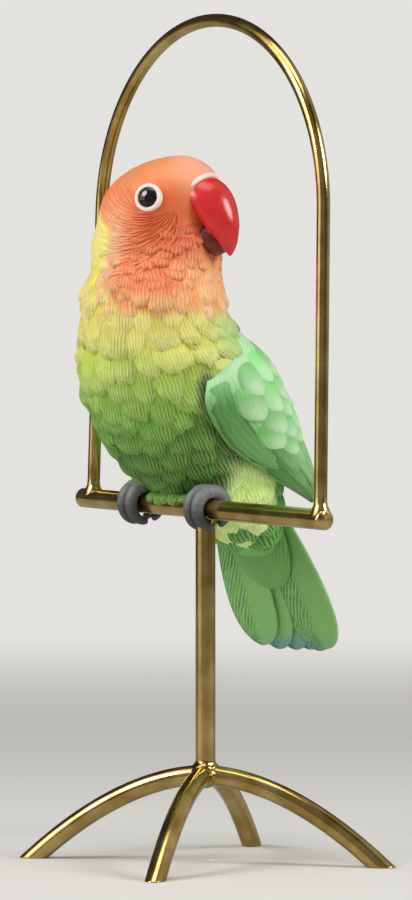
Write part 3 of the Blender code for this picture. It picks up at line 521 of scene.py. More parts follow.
def laid(surface, tip, middle, span, half, lift, skew=0.0, blunt=2.2, round_tip=False, columns=13,
         ragged=0.0):
    """Sheets for rounded feathers on a surface(a, b, lift) whose a runs to the feathers' tips. Their
    roots and edges go under the skin; a round tip swells into a lump, else the tip ends in a lip.
    ragged is how far the locks of hair at the tip run out or fall short."""
    v = np.array([0.0, 0.14, 0.28, 0.42, 0.55, 0.67, 0.77, 0.85, 0.91, 0.955, 0.985, 1.0, 1.0])
    u = np.sin(np.linspace(-np.pi / 2, np.pi / 2, columns))
    tip, middle, span, half, lift, skew = [part[:, None, None] for part in np.broadcast_arrays(
        np.asarray(tip, float), middle, span, half, lift, skew)]
    locks = chance.normal(0.0, 1.0, (len(tip), 1, columns)) * ragged
    narrow = 0.55 if round_tip else 0.995
    wide = np.where(v < 0.55, 0.80 + 0.20 * np.sin(np.pi / 2 * v / 0.55),
                    (1 - np.clip((v - 0.55) / 0.45, 0, 1) ** blunt * narrow) ** 0.5)[None, :, None]
    v = v[None, :, None]
    u = u[None, None, :]
    a = tip - span * (1 - v) + locks * v ** 3 - (0.13 * span * u ** 2 * v ** 3 if round_tip else 0.0)
    b = middle + half * wide * u + skew * (1 - v)
    if round_tip:
        crown = (1 - np.abs(u) ** 2.2) * np.sin(np.pi * v ** 3.0) ** 0.6
    else:
        edge = np.where(v > 0.9, 1 - 2 * (v - 0.9), 1.0)
        swell = 0.15 + 0.85 * np.sin(np.pi / 2 * np.minimum(v / 0.85, 1)) ** 1.5
        crown = (1 - np.abs(u) ** 3.5) * swell * edge
    rise = lift * crown - 0.35 * MM * (1 - fade(0.0, 0.3, v)) - 0.3 * MM * np.abs(u) ** 6
    rise[:, -1] = -0.5 * MM
    return surface(a, b, rise), np.broadcast_to(u, rise.shape), np.broadcast_to(v, rise.shape)


def breast(a, b, lift):
    """The bird's skin for feathers that hang down it: a runs downwards, b round from the breast."""
    return feather_bed(-a, b, lift)


# the folded wings' outer faces, because the tufts stop where a wing lies: three curves from shoulder to
# tip along the upper edge, the middle and the lower edge, in shares of the body's width, depth and height
RIGHT_WING_SHIFT = np.array([0.9, 2.8, 0.0]) * MM
WING_UPPER = ((0.48, -0.08, 0.78), (0.46, 0.24, 0.745), (0.38, 0.58, 0.655), (0.26, 0.98, 0.50),
              (0.16, 1.34, 0.34), (0.12, 1.67, 0.18), (0.20, 1.97, 0.03), (0.26, 2.08, -0.012))
WING_MIDDLE = ((0.60, -0.32, 0.765), (0.79, -0.07, 0.72), (0.945, 0.19, 0.58), (0.96, 0.56, 0.43),
               (0.88, 0.89, 0.30), (0.75, 1.24, 0.19), (0.48, 1.77, 0.055), (0.27, 2.055, -0.006))
WING_LOWER = ((0.78, -0.32, 0.72), (0.86, -0.59, 0.60), (0.815, -0.625, 0.465), (0.79, -0.25, 0.285),
              (0.83, 0.24, 0.175), (0.72, 0.86, 0.095), (0.54, 1.46, 0.042), (0.28, 2.04, -0.008))
WING_SCALE = np.array([BODY_WIDTH / 2, BODY_DEPTH / 2, NECK_HEIGHT])


def wing_curve(table, along):
    """Point on one of the wing's three curves."""
    rows = np.array(table) * WING_SCALE
    knots = np.linspace(0.0, 1.0, len(rows))
    return np.stack([through(knots, rows[:, k], along) for k in range(3)], axis=-1)


def wing_face(along, across):
    """Point on the left wing as modelled: along from shoulder 0 to tip 1, across from upper edge 0 to
    lower edge 1."""
    c = across[..., None]
    return (wing_curve(WING_UPPER, along) * (1 - c) * (1 - 2 * c)
            + wing_curve(WING_MIDDLE, along) * 4 * c * (1 - c)
            + wing_curve(WING_LOWER, along) * c * (2 * c - 1))


# the shoulder comes out from under the breast, smoothed down on to the body, and nothing below it dips
# under the body's skin
quads = [(r * 240 + c, r * 240 + (c + 1) % 240, (r + 1) * 240 + (c + 1) % 240, (r + 1) * 240 + c)
         for r in range(len(body) - 1) for c in range(240)]
body_skin = BVHTree.FromPolygons(body.reshape(-1, 3).tolist(), quads)
WING_GRID = (121, 61)
spread_a, spread_c = np.meshgrid(*(np.linspace(0, 1, count) for count in WING_GRID), indexing="ij")
settled = wing_face(spread_a, spread_c)
for spot in np.ndindex(*WING_GRID):
    face = Vector(settled[spot])
    foot_point, normal, _, _ = body_skin.find_nearest(face)
    normal = normal if normal.dot(foot_point - Vector(BIRD_HEART)) > 0 else -normal
    high = (face - foot_point).dot(normal)
    smooth = 1 - fade(0.15, 0.40, spread_a[spot])
    least = (0.3 + 1.0 * fade(0.55, 0.85, spread_c[spot]) * fade(0.18, 0.36, spread_a[spot])) * MM
    wanted = least * smooth + max(high, least) * (1 - smooth)
    tucked = 1 - fade(0.0, 0.06, spread_a[spot] - 0.07 - 0.11 * fade(0.4, 1.0, spread_c[spot]))
    wanted = wanted * (1 - tucked) - 0.6 * MM * tucked
    near = 1 - fade(1.0 * MM, 2.5 * MM, high)
    settled[spot] += ((foot_point + normal * wanted) - face) * max(near, smooth)


def wing_point(along, across, lift=0.0):
    """Point on the left wing's outer face as it lies over the body, read from the settled grid."""
    along, across, lift = np.broadcast_arrays(np.asarray(along, float), across, lift)

    def surface(a, c):
        a, c = np.clip(a, 0, 1) * (WING_GRID[0] - 1), np.clip(c, 0, 1) * (WING_GRID[1] - 1)
        i, j = np.minimum(a.astype(int), WING_GRID[0] - 2), np.minimum(c.astype(int), WING_GRID[1] - 2)
        a, c = (a - i)[..., None], (c - j)[..., None]
        return ((settled[i, j] * (1 - c) + settled[i, j + 1] * c) * (1 - a)
                + (settled[i + 1, j] * (1 - c) + settled[i + 1, j + 1] * c) * a)

    run = surface(along + 0.012, across) - surface(along - 0.012, across)
    turn = surface(along, across + 0.02) - surface(along, across - 0.02)
    normal = np.cross(turn, run)
    normal /= np.maximum(np.linalg.norm(normal, axis=-1, keepdims=True), 1e-12)
    return surface(along, across) + normal * lift[..., None]


def to_side(points, side):
    """Points of the left wing, or for side -1 mirrored to the right wing, which sits a little further
    in and back."""
    return points * np.array([side, 1.0, 1.0]) + RIGHT_WING_SHIFT * (side < 0)


def how_far(points, spots):
    """Distance from each point to the nearest of some spots."""
    return np.min([np.linalg.norm(points - spot, axis=-1) for spot in spots], axis=0)


def under_wing(points, rim):
    """Which points lie beneath a folded wing, as far across it as rim."""
    a, c = np.meshgrid(np.linspace(0.06, 0.97, 60), np.linspace(0.03, rim, 30), indexing="ij")
    shown = a > 0.18 + 0.06 * fade(0.4, 1.0, c)
    a, c = a[shown], c[shown]
    face = wing_point(a, c)
    outward = (wing_point(a, c, MM) - face) / MM
    mirrored = np.where(points[:, :1] < 0, (points - RIGHT_WING_SHIFT) * (-1.0, 1.0, 1.0), points)
    apart = mirrored[:, None] - face[None]
    nearest = np.argmin(np.sum(apart ** 2, axis=-1), axis=1)
    off = apart[np.arange(len(points)), nearest]
    height = np.sum(off * outward[nearest], axis=-1)
    beside = np.sqrt(np.maximum(np.sum(off ** 2, axis=-1) - height ** 2, 0))
    return (beside < 0.9 * MM) & (np.abs(height + 1.4 * MM) < 1.6 * MM)


def per_unit(surface, a, b):
    """Metres on the surface for one unit of each of its two directions."""
    small = 1e-4
    here = surface(a, b, 0.0)
    return (np.linalg.norm(surface(a + small, b, 0.0) - here, axis=-1) / small,
            np.linalg.norm(surface(a, b + small, 0.0) - here, axis=-1) / small)


tips, middles, widths = [], [], []
low, high = -0.70 * VENT_DROP, 0.885 * NECK_HEIGHT
for row in range(TUFT_ROWS):
    level = low + (high - low) * row / (TUFT_ROWS - 1)
    around = np.linspace(0, 2 * np.pi, 400)
    arc = per_unit(breast, np.full(400, -level), around)[1]
    length = np.concatenate([[0], np.cumsum((arc[1:] + arc[:-1]) / 2 * np.diff(around))])
    count = max(int(round(length[-1] / TUFT_WIDTH)), 6)
    spots = (np.arange(count) + 0.5 * (row % 2) + chance.uniform(-0.16, 0.16, count)) / count % 1.0
    middles.append(np.interp(spots * length[-1], length, around))
    tips.append(-level + chance.uniform(-1.3, 1.3, count) * MM)
    widths.append(length[-1] / count * chance.uniform(0.8, 1.5, count))
tips, middles, widths = np.concatenate(tips), np.concatenate(middles), np.concatenate(widths)
spot = feather_bed(-tips, middles)
# bare where a wing lies, and where the face and throat have smaller feathers of their own
bare = under_wing(spot, 0.88) | ((face_angle(spot) < 104) & (tips < -46 * MM))
pressed = np.where(under_wing(spot, 0.99), 0.5, 1.0)[~bare]
tips, middles, widths = tips[~bare], middles[~bare], widths[~bare]
across = per_unit(breast, tips, middles)[1]
pitch = (high - low) / (TUFT_ROWS - 1)
long_fan = 1 + 0.6 * np.exp(-((tips + 42.5 * MM) / (3 * MM)) ** 2)
points, u, v = laid(breast, tips, middles, 2.35 * long_fan * pitch * chance.uniform(0.9, 1.2, len(tips)),
                    0.66 * widths / across, TUFT_LIFT * pressed * chance.uniform(0.6, 1.25, len(tips)),
                    chance.uniform(-0.9, 0.9, len(tips)) * MM / across, round_tip=True, columns=17,
                    ragged=0.35 * MM)
colour = plumage(points[:, 8:9, 8:9]) * 0.2 + plumage(points) * 0.8
colour = colour * chance.uniform(0.9, 1.06, (len(tips), 1, 1, 1))
# painted shadow, a dark olive, on the tufts under the wings' lower edges, and the shoulders' mint is brushed
# over the tufts beside it
rim = wing_point(np.linspace(0.22, 1.0, 60), 1.0)
shoulder = wing_point(0.12, np.linspace(0.0, 0.6, 12))
for side, painted_shade in ((1.0, 0.85), (-1.0, 0.20)):
    shade = painted_shade * (1 - fade(0.6 * MM, 3.4 * MM, how_far(points, to_side(rim, side))))
    colour = blend(colour, "#2F4A16", shade * (points[..., 0] * side > 0))
    mint = 0.7 * (1 - fade(1 * MM, 7 * MM, how_far(points, to_side(shoulder, side))))
    colour = blend(colour, "#BCE49C", mint)
strokes = widths[:, None, None] / STROKE / 2 * u * (0.9 + 0.3 * v) + chance.uniform(0, 1, (len(tips), 1, 1))
# painted shade at each tuft's root and side edges, through rise
painted("breast_feathers", points, colour, strokes, fade(0.2, 1.0, v) * (1 - 0.75 * np.abs(u) ** 5),
        (0.35 + 0.65 * v) * (1.15 - 0.25 * fade(18, 36, points[..., 2] / MM)), inside=bird_heart)

# ---- Belly tufts over the bar ----
# The lowest belly feathers hang over the front of the bar between the feet. They are part of the same
# casting and are cemented to the brass with it.
over_bar = BIRD_OFFSET + np.array([-7.0, -2.6, 2.2, 6.8]) * MM


def bar_hug(a, b, lift):
    """Round the bar: a turns from the top down the front, b runs along it."""
    out = ROD / 2 + 0.2 * MM + lift
    return np.stack([b, -out * np.sin(a), out * np.cos(a)], axis=-1)


points, u, v = laid(bar_hug, [1.25, 1.55, 1.45, 1.1], over_bar, 2.9, 3.3 * MM,
                    np.array([0.9, 1.2, 1.1, 0.8]) * MM, round_tip=True, columns=17, ragged=0.12)
bar_middle = np.array(bar_place.translation)
# painted shade at each tuft's root, through rise
painted("belly_fringe", points, blend("#5E922C", "#7CA840", v), 4.2 * u * (0.8 + 0.2 * v),
        0.45 + 0.55 * v, 0.4 + 0.6 * v, place=bar_place, inside=bar_middle)

# ---- Throat ruffle and cheeks ----
# Smaller, softer tufts under the beak and along the bib, carved into the same casting and painted peach
# over orange. A row of broad scallops in peach closes the bib.
tips, middles, sizes = [], [], []
for row, level in enumerate(np.linspace(0.812, 1.13, 8) * NECK_HEIGHT):
    width = (5.6 - 0.4 * row) * MM
    count = int(round(2 * np.pi * 16.2 * MM / width))
    place = np.arange(count) + 0.5 * (row % 2) + chance.uniform(-0.2, 0.2, count)
    middles.append(place * 2 * np.pi / count)
    tips.append(-level + chance.uniform(-1.2, 1.2, count) * MM)
    sizes.append(np.full(count, width))
tips, middles, sizes = np.concatenate(tips), np.concatenate(middles), np.concatenate(sizes)
tips = np.minimum(tips, -46.4 * MM)
spot = body_point(-tips, middles)
facing = face_angle(spot)
keep = (facing < 118 + 40 * (spot[:, 2] < 0.93 * NECK_HEIGHT)) & ((spot[:, 2] < 60 * MM) | (facing < 60))
tips = np.concatenate([tips[keep], -np.array([50.4, 47.6, 46.0, 45.4, 45.6, 46.4]) * MM])
middles = np.concatenate([middles[keep], [0.28, 0.68, 1.08, 1.38, 1.68, 2.00]])
sizes = np.concatenate([sizes[keep], np.array([6.6, 6.6, 5.6, 5.4, 5.4, 5.4]) * MM])
down, across = per_unit(breast, tips, middles)
points, u, v = laid(breast, tips, middles, (1.3 + 0.5 * (tips > -50 * MM)) * sizes / down,
                    0.62 * sizes / across * chance.uniform(0.8, 1.3, len(tips)),
                    0.17 * sizes * chance.uniform(0.6, 1.2, len(tips)) * (1 + 0.6 * (tips > -50 * MM)),
                    chance.uniform(-1.2, 1.2, len(tips)) * MM / across, round_tip=True, ragged=0.3 * MM)
bib_edge = (1 - fade(47, 52, points[:, 8:9, 6:7, 2] / MM)) * fade(0.35, 0.95, v)
colour = blend(plumage(points[:, 3:4, 6:7]), "#F3CF8C", 0.8 * bib_edge)
colour[-4:] = blend(colour[-4:], "#F9CFA4", 0.8 * fade(0.3, 0.8, v[-4:]))
strokes = sizes[:, None, None] / STROKE / 2 * u + chance.uniform(0, 1, (len(tips), 1, 1))
# painted shade at each tuft's root and sides, through rise
painted("throat_feathers", points, colour, strokes, 0.2 + 0.8 * v * (1 - 0.5 * np.abs(u) ** 5), 0.2 + 0.7 * v,
        inside=bird_heart)

# ---- Cheek hair strokes ----
# Fine hair-like feathers scratched over the cheek and lores: they fan out from the corner of the bill
# and sweep back towards the nape, each a thin raised lick of clay.
FAN_AHEAD = 9.0 * MM
FAN_HEIGHT = 71.6 * MM
FAN_CURL = math.radians(2.9) / MM
# radius in mm and number of strokes of each ring
CHEEK_RINGS = ((3.2, 13), (5.3, 17), (7.4, 21), (9.5, 25), (11.6, 28), (13.8, 30), (16.0, 32), (18.2, 34))


def cheek(side):
    """Surface of one side of the head: a runs out from the fan's centre, b is the direction of the stroke
    where it starts, from ahead by below to behind."""
    def surface(a, b, lift):
        way = b + FAN_CURL * a
        ahead = FAN_AHEAD + a * np.cos(way)
        level = FAN_HEIGHT - a * np.sin(way)
        front, rear = np.full(a.shape, HEAD_TURN), np.full(a.shape, HEAD_TURN - side * np.pi)
        for _ in range(26):
            angle = (front + rear) / 2
            past = (body_point(level, angle) - head_base) @ HEAD_FORWARD > ahead
            front, rear = np.where(past, angle, front), np.where(past, rear, angle)
        return body_point(level, (front + rear) / 2, lift)
    return surface


for side, name in ((1.0, "right"), (-1.0, "left")):
    reach, start = [], []
    for ring, count in CHEEK_RINGS:
        start.append(np.radians(np.linspace(62, 168, count)) + chance.uniform(-0.04, 0.04, count))
        reach.append(ring * MM + 1.9 * MM + chance.uniform(-0.8, 0.8, count) * MM)
    reach, start = np.concatenate(reach), np.concatenate(start)
    end_way = start + FAN_CURL * reach
    tip_level = FAN_HEIGHT - reach * np.sin(end_way)
    tip_ahead = FAN_AHEAD + reach * np.cos(end_way)
    off_eye = np.hypot(tip_ahead - EYE_AHEAD * HEAD_LENGTH / 2, tip_level - eye_height)
    keep = (tip_ahead > -13.0 * MM) & (tip_level > 53 * MM) & (tip_level < 77 * MM) & (off_eye > 4.2 * MM)
    reach, start = reach[keep], start[keep]
    spacing = np.maximum(reach, 2 * MM) * math.radians(106) / 26
    half = np.clip(0.62 * spacing, 0.32 * MM, 0.75 * MM) / np.maximum(reach, MM)
    points, u, v = laid(cheek(side), reach, start, np.full(len(reach), 4.6 * MM), half,
                        chance.uniform(0.28, 0.5, len(reach)) * MM, blunt=1.5, columns=7)
    paint = plumage(points) * chance.uniform(0.9, 1.07, (len(reach), 1, 1, 1))
    # painted shade along each lick's edges and at its root, through rise
    rise = 0.45 + 0.55 * (1 - np.abs(u)) * np.minimum(v * 2, 1)
    painted(name + "_cheek_strokes", points, paint, u * 0.5, rise, 0.25, inside=bird_heart)

# ---- Wings ----
# Folded wings modelled over the body's sides, raised at their lower edges. Smooth pale shoulder, then
# rounded coverts like fish scales, then long flight feathers that close to the tip.
WING_THICKNESS = 2.2 * MM


def wing_paint(along, across, tint):
    """Yellow-green where the shoulder comes out of the breast, then mint, deeper towards edge and tip."""
    along, across, tint = np.broadcast_arrays(along, across, tint)
    paint = blend("#BEEEB6", "#B2E6AC", fade(0.12, 0.4, along))
    paint = blend(paint, "#86BC74", fade(0.45, 0.95, along))
    paint = blend(paint, "#5E9E48", fade(0.66, 0.96, across) * fade(0.2, 0.36, along) * 0.9)
    paint = blend(paint, "#C4DE86", 1 - fade(0.0, 0.09, along - 0.10 * fade(0.3, 1.0, across)))
    return paint * tint[..., None]


across = np.linspace(0, 1, 61)
back = np.linspace(0.97, 0.03, 14)
along = np.concatenate([[0.0], np.linspace(0.02, 0.97, 110)])
edge = np.sin(np.pi * across) ** 0.5
outer = wing_point(along[:, None], across[None], -0.15 * MM * edge)
middle_out = (wing_point(along, 0.5, MM) - wing_point(along, 0.5)) / MM
outer[0] -= middle_out[0] * 0.4 * WING_THICKNESS
depth = WING_THICKNESS * np.sqrt(1.02 - along)[:, None] * (4 * back * (1 - back))[None] ** 0.4
inner = outer[:, :1] + (outer[:, -1:] - outer[:, :1]) * back[:, None] - middle_out[:, None] * depth[..., None]
wing_form = np.concatenate([outer, inner], axis=1)
round_wing = np.concatenate([across, back])

# rows of coverts below the smooth shoulder, then the greater coverts, the flight feathers and the two
# long feathers along the lower edge: tips, middles, spans, half widths, lifts, barbs across and their depth
groups = []
for row, start in enumerate((0.325, 0.395, 0.465, 0.53, 0.59)):
    middle = (np.arange(5) + 0.30 + 0.5 * (row % 2)) / 5.3 * 0.86
    groups.append((start + chance.uniform(-0.015, 0.015, 5) + 0.05 * (middle - 0.4), middle,
                   0.125, 0.105, 0.8 * MM, 8.0, 0.2))
middle = (np.arange(7) + 0.5) / 7 * 0.86
groups.append((0.72 + 0.03 * np.cos(middle * 4), middle, 0.20, 0.072, 0.7 * MM, 7.0, 0.5))
for start, lift, count in ((0.80, 0.85, 7), (0.88, 0.7, 6), (0.955, 0.6, 5)):
    middle = (np.arange(count) + 0.5) / count * 0.90
    groups.append((start + 0.03 * (middle - 0.5), middle, 0.26, 0.56 / count, lift * MM, 5.0, 0.45))
groups.append((np.array([0.62, 0.97]), np.array([0.925, 0.93]), np.array([0.50, 0.60]), 0.075,
               np.array([0.5, 0.45]) * MM, 5.0, 0.25))
for side, name in ((1.0, "left"), (-1.0, "right")):
    painted(name + "_wing", to_side(wing_form, side), wing_paint(along[:, None], round_wing[None], 1.0),
            round_wing[None] * 34, 0.8, 0.35 * fade(0.12, 0.3, along)[:, None], wrap=True, ends=True,
            inside=bird_heart)
    parts = []
    for tip, middle, span, half, lift, lines, cut in groups[::-1]:
        points, u, v = laid(wing_point, np.minimum(tip, 0.985), middle, span, half, lift, blunt=2.6)
        root = (tip - span)[:, None, None]
        shade = wing_paint(root + (tip[:, None, None] - root) * v, middle[:, None, None] + 0 * v,
                           chance.uniform(0.88, 1.1, (len(tip), 1, 1)))
        # painted highlight down the middle of each covert towards its tip, and through rise painted shade at
        # every feather's root and side edges
        shade = blend(shade, "#D2F4CA", 0.65 * fade(0.3, 0.85, v) * (1 - np.abs(u)) * (lines > 7.5))
        parts.append((to_side(points, side), shade, lines / 2 * np.abs(u) - 1.4 * v * (lines / 6),
                      v * (1 - 0.9 * np.abs(u) ** (5 if lines < 6 else 8)), cut * (0.3 + 0.7 * v)))
    painted(name + "_wing_feathers", *(np.concatenate(column) for column in zip(*parts)), inside=bird_heart)

# ---- Tail ----
# Six broad feathers fanned from the vent with a raised shaft and oblique barb lines, teal towards the
# tips, with yellow-green coverts laid over their roots.
TAIL_LENGTH = 39.9 * MM
TAIL_FEATHER_WIDTH = 14.5 * MM
TAIL_FEATHER_THICKNESS = 1.9 * MM
# each feather of one side: where it starts and ends beside the middle in feather widths, its length's
# share and its layer
TAIL_FAN = ((0.50, 0.66, 0.965, 0.0), (0.30, 0.42, 1.01, 0.75), (0.10, 0.14, 1.03, 1.45))
TAIL_SKEW = 0.29
TAIL_SLOPE = math.radians(30.0)
TAIL_BARB = 1.25 * MM
tail_root = np.array([0.0, 0.53, -0.06]) * NECK_HEIGHT
tail_along = np.array([0.0, math.sin(TAIL_SLOPE), -math.cos(TAIL_SLOPE)])
tail_behind = np.array([0.0, math.cos(TAIL_SLOPE), math.sin(TAIL_SLOPE)])


def leaf(root, tip, width, thickness, widest=0.62):
    """Closed lens-shaped feather: returns its rings, and where each point lies across and along."""
    axis = tip - root
    sideways = np.array([1.0, 0, 0])
    up = unit(np.cross(sideways, axis))
    t = np.sin(np.linspace(0.0, np.pi / 2, 56))[:, None] ** 0.9 * 0.998
    wide = np.where(t < widest, 0.55 + 0.45 * np.sin(np.pi / 2 * t / widest),
                    np.maximum(1 - np.clip((t - widest) / (1 - widest), 0, 1) ** 2.4, 1e-4) ** 0.5)
    front, rear = np.linspace(-1, 1, 33), np.linspace(0.9, -0.9, 9)
    u = np.concatenate([front, rear])
    top = np.concatenate([0.62 * (1 - front ** 2) ** 0.8, -0.38 * (1 - rear ** 2) ** 0.5])
    shaft = np.concatenate([np.exp(-(front / 0.06) ** 2), -np.exp(-(rear / 0.1) ** 2)])
    high = thickness * (0.35 + 0.65 * wide) * top + shaft * 0.26 * MM * (1 - t)
    ring = root + axis * t[..., None] + sideways * (width / 2 * wide * u)[..., None] + up * high[..., None]
    return ring, np.broadcast_to(u, high.shape), np.broadcast_to(t, high.shape)


parts = []
for side in (-1.0, 1.0):
    for near, far, reach, layer in TAIL_FAN:
        skew = layer + (TAIL_SKEW if side > 0 else 0.0)
        start = tail_root + tail_behind * skew * TAIL_FEATHER_THICKNESS
        start = start + np.array([side * near * TAIL_FEATHER_WIDTH, 0, 0])
        fan_out = np.array([side * (far - near) * TAIL_FEATHER_WIDTH, 0, 0])
        end = start + tail_along * reach * TAIL_LENGTH + fan_out
        ring, u, t = leaf(start, end, TAIL_FEATHER_WIDTH, TAIL_FEATHER_THICKNESS)
        # painted shade towards the root, where the fan goes in under the body
        green = blend("#6CA650", "#86C26C", fade(0.15, 0.6, t))
        green = blend(green, "#A6D890", fade(0.86, 0.97, u) * 0.8)
        green = blend(green, "#6BA69A", fade(0.84, 0.97, t) * (0.35 if layer == 0 else 0.95))
        barb = (t * reach * TAIL_LENGTH * 0.5 - 1.1 * np.abs(u) * TAIL_FEATHER_WIDTH / 2) / TAIL_BARB
        # painted shade: a dark line beside the raised shaft, and through rise each feather's middle darker
        # than its edges
        shaft_shade = 0.35 * np.exp(-((u + 0.12) / 0.05) ** 2)
        cut = 0.06 + 1.1 * fade(-0.05, 0.15, -u) * fade(0.05, 0.2, t)
        parts.append((ring, green, barb, 0.75 + 0.25 * np.abs(u) - shaft_shade, cut))
tail_heart = put(tail_root, bird_place)
painted("tail_feathers", *(np.array(column) for column in zip(*parts)), wrap=True, ends=True,
        inside=tail_heart)

# the broad feather under the fan, and the soft tufts between the legs that lie over its root
start = tail_root - tail_behind * 1.3 * MM - tail_along * 0.10 * TAIL_LENGTH
end = tail_root - tail_behind * 0.5 * MM + tail_along * 0.52 * TAIL_LENGTH
ring, u, t = leaf(start, end, 1.35 * TAIL_FEATHER_WIDTH, 3.4 * MM, widest=0.3)
# painted shade towards the root, through rise
painted("undertail", ring, blend("#629A44", "#7AB85E", t), u * 9 + t * 5, 0.45 + 0.45 * t,
        0.3, wrap=True, ends=True)

drop = np.array([6.8, 5.2, 4.4, 2.4, 1.2, 0.2]) * MM
around = np.array([0.55, 0.05, 1.05, 0.40, -0.25, 0.95])
across = per_unit(breast, drop, around)[1]
points, u, v = laid(breast, drop, around, 8.0 * MM, 3.3 * MM / across, 2.1 * MM, round_tip=True, columns=17,
                    ragged=0.4 * MM)
# painted shade at each tuft's root, through rise
painted("vent_feathers", points, blend("#B8DA6C", "#E6F6A4", v), u * 4.4, 0.35 + 0.65 * v,
        0.4 + 0.4 * v, inside=tail_heart)

# ---- Beak ----
# The hooked upper bill and short lower bill are cast on the head, glazed glossy red and dark maroon,
# with the pale waxy cere where the upper bill meets the forehead.
BEAK_LENGTH = 10.5 * MM
BEAK_DEPTH = 19.5 * MM
BEAK_WIDTH = 12.6 * MM
MANDIBLE_LENGTH = 7.0 * MM
# shares of the beak's length and depth: forward and down of the ridge, forward and down of the cutting
# edge, and the width
BEAK_ROWS = (
    (-0.31, 0.010, -0.55, 0.470, 0.90),
    (0.08, 0.015, -0.27, 0.450, 1.00),
    (0.38, 0.072, -0.05, 0.510, 0.99),
    (0.64, 0.200, 0.13, 0.620, 0.91),
    (0.81, 0.385, 0.29, 0.730, 0.77),
    (0.90, 0.610, 0.43, 0.815, 0.57),
    (0.885, 0.800, 0.55, 0.885, 0.38),
    (0.81, 0.935, 0.645, 0.945, 0.19),
    (0.745, 0.990, 0.725, 0.988, 0.03),
)
CERE_LEVEL = 0.83       # share of the crown's rise above the neck
LORES_FORWARD = 0.73    # share of half the head's length
beak_top = NECK_HEIGHT + CERE_LEVEL * HEAD_RISE
beak_front = HEAD_LENGTH / 2 * LORES_FORWARD


def glazed(name, colour, deep, roughness):
    """Fired glaze over painted porcelain: wet-looking, with thin mottling in the colour."""
    made, tree, shader, place = new_material(name)
    cloud = node(tree, "TexNoise", {"Vector": place, "Scale": 1 / 0.003, "Detail": 3.0})
    mottle = node(tree, "Mix", {"Factor": cloud, "A": (*linear(colour), 1.0), "B": (*linear(deep), 1.0)},
                  data_type="RGBA")
    relief = node(tree, "Bump", {"Height": cloud, "Strength": 0.15, "Distance": 0.2 * MM})
    feed(tree, shader, {"Base Color": mottle, "Normal": relief, "Roughness": roughness, "Coat Weight": 0.25,
                        "Coat Roughness": 0.12})
    return made


def beak_ring(row, around, grow=0.0):
    """Point on the upper bill: row 0 to 8 from root to hook, around from the ridge over one side."""
    table = np.array(BEAK_ROWS)
    cf, ch, ef, eh, wide = [through(np.arange(9), table[:, k], row) for k in range(5)]
    share = 0.5 - 0.5 * np.cos(around)
    forward = beak_front + (cf + (ef - cf) * share) * BEAK_LENGTH
    height = beak_top - (ch + (eh - ch) * share) * BEAK_DEPTH
    side = np.sin(around) * (1 - 0.18 * np.cos(around)) * wide * BEAK_WIDTH / 2
    middle_forward = beak_front + (cf + ef) / 2 * BEAK_LENGTH
    middle_height = beak_top - (ch + eh) / 2 * BEAK_DEPTH
    off = np.stack([forward - middle_forward, side, height - middle_height], axis=-1)
    off = off * (1 + grow / np.maximum(np.linalg.norm(off, axis=-1, keepdims=True), 1e-6))
    return head_place(middle_forward + off[..., 0], off[..., 1], middle_height + off[..., 2])


around = np.linspace(0, 2 * np.pi, 48, endpoint=False)
row = 8 * np.sin(np.linspace(0, np.pi / 2, 56))
beak_heart = put(head_place(beak_front, 0.0, beak_top - 0.4 * BEAK_DEPTH), bird_place)
upper_bill = put(beak_ring(row[:, None], around[None]), bird_place)
dress(skin("upper_bill", upper_bill, wrap=True, ends=True, inside=beak_heart),
      glazed("glazed_red", "#DE302E", "#BE1E22", 0.26), "bisque")

# the lower bill's sections: forward, down, width and depth
rows = np.array(((-0.5, 0.72, 0.9, 1.0), (0.1, 0.76, 1.0, 1.05), (0.5, 0.80, 0.9, 1.0),
                 (0.8, 0.815, 0.66, 0.75), (0.97, 0.82, 0.3, 0.36)))
row = np.linspace(0, 4, 32)
reach, drop, wide, deep = [through(np.arange(5), rows[:, k], row)[:, None] for k in range(4)]
mandible = head_place(beak_front + reach * MANDIBLE_LENGTH, np.sin(around) * wide * BEAK_WIDTH * 0.36,
                      beak_top - drop * BEAK_DEPTH - np.cos(around) * deep * 3.6 * MM)
dress(skin("lower_bill", put(mandible, bird_place), wrap=True, ends=True),
      glazed("glazed_maroon", "#7C2014", "#5A120C", 0.3), "bisque")

# the cere, a low roll over the root of the upper bill
arc = np.linspace(-2.05, 2.05, 72)
spine = beak_ring(1.25 - 0.6 * (arc / 2.05) ** 2, arc, 0.3 * MM)
ahead = unit(np.gradient(spine, axis=0))
side_way = unit(np.cross(ahead, HEAD_FORWARD))
front_way = np.cross(side_way, ahead)
turn = np.arange(16) * 2 * np.pi / 16
thick = (0.65 * MM * np.cos(arc / 2.05 * np.pi / 2) ** 0.5 + 0.02 * MM)[:, None, None]
cere = spine[:, None] + thick * (np.cos(turn)[:, None] * side_way[:, None]
                                 + np.sin(turn)[:, None] * front_way[:, None])
painted("cere", cere, linear("#F8DCD0"), 0.0, 1.0, 0.0, wrap=True, ends=True)

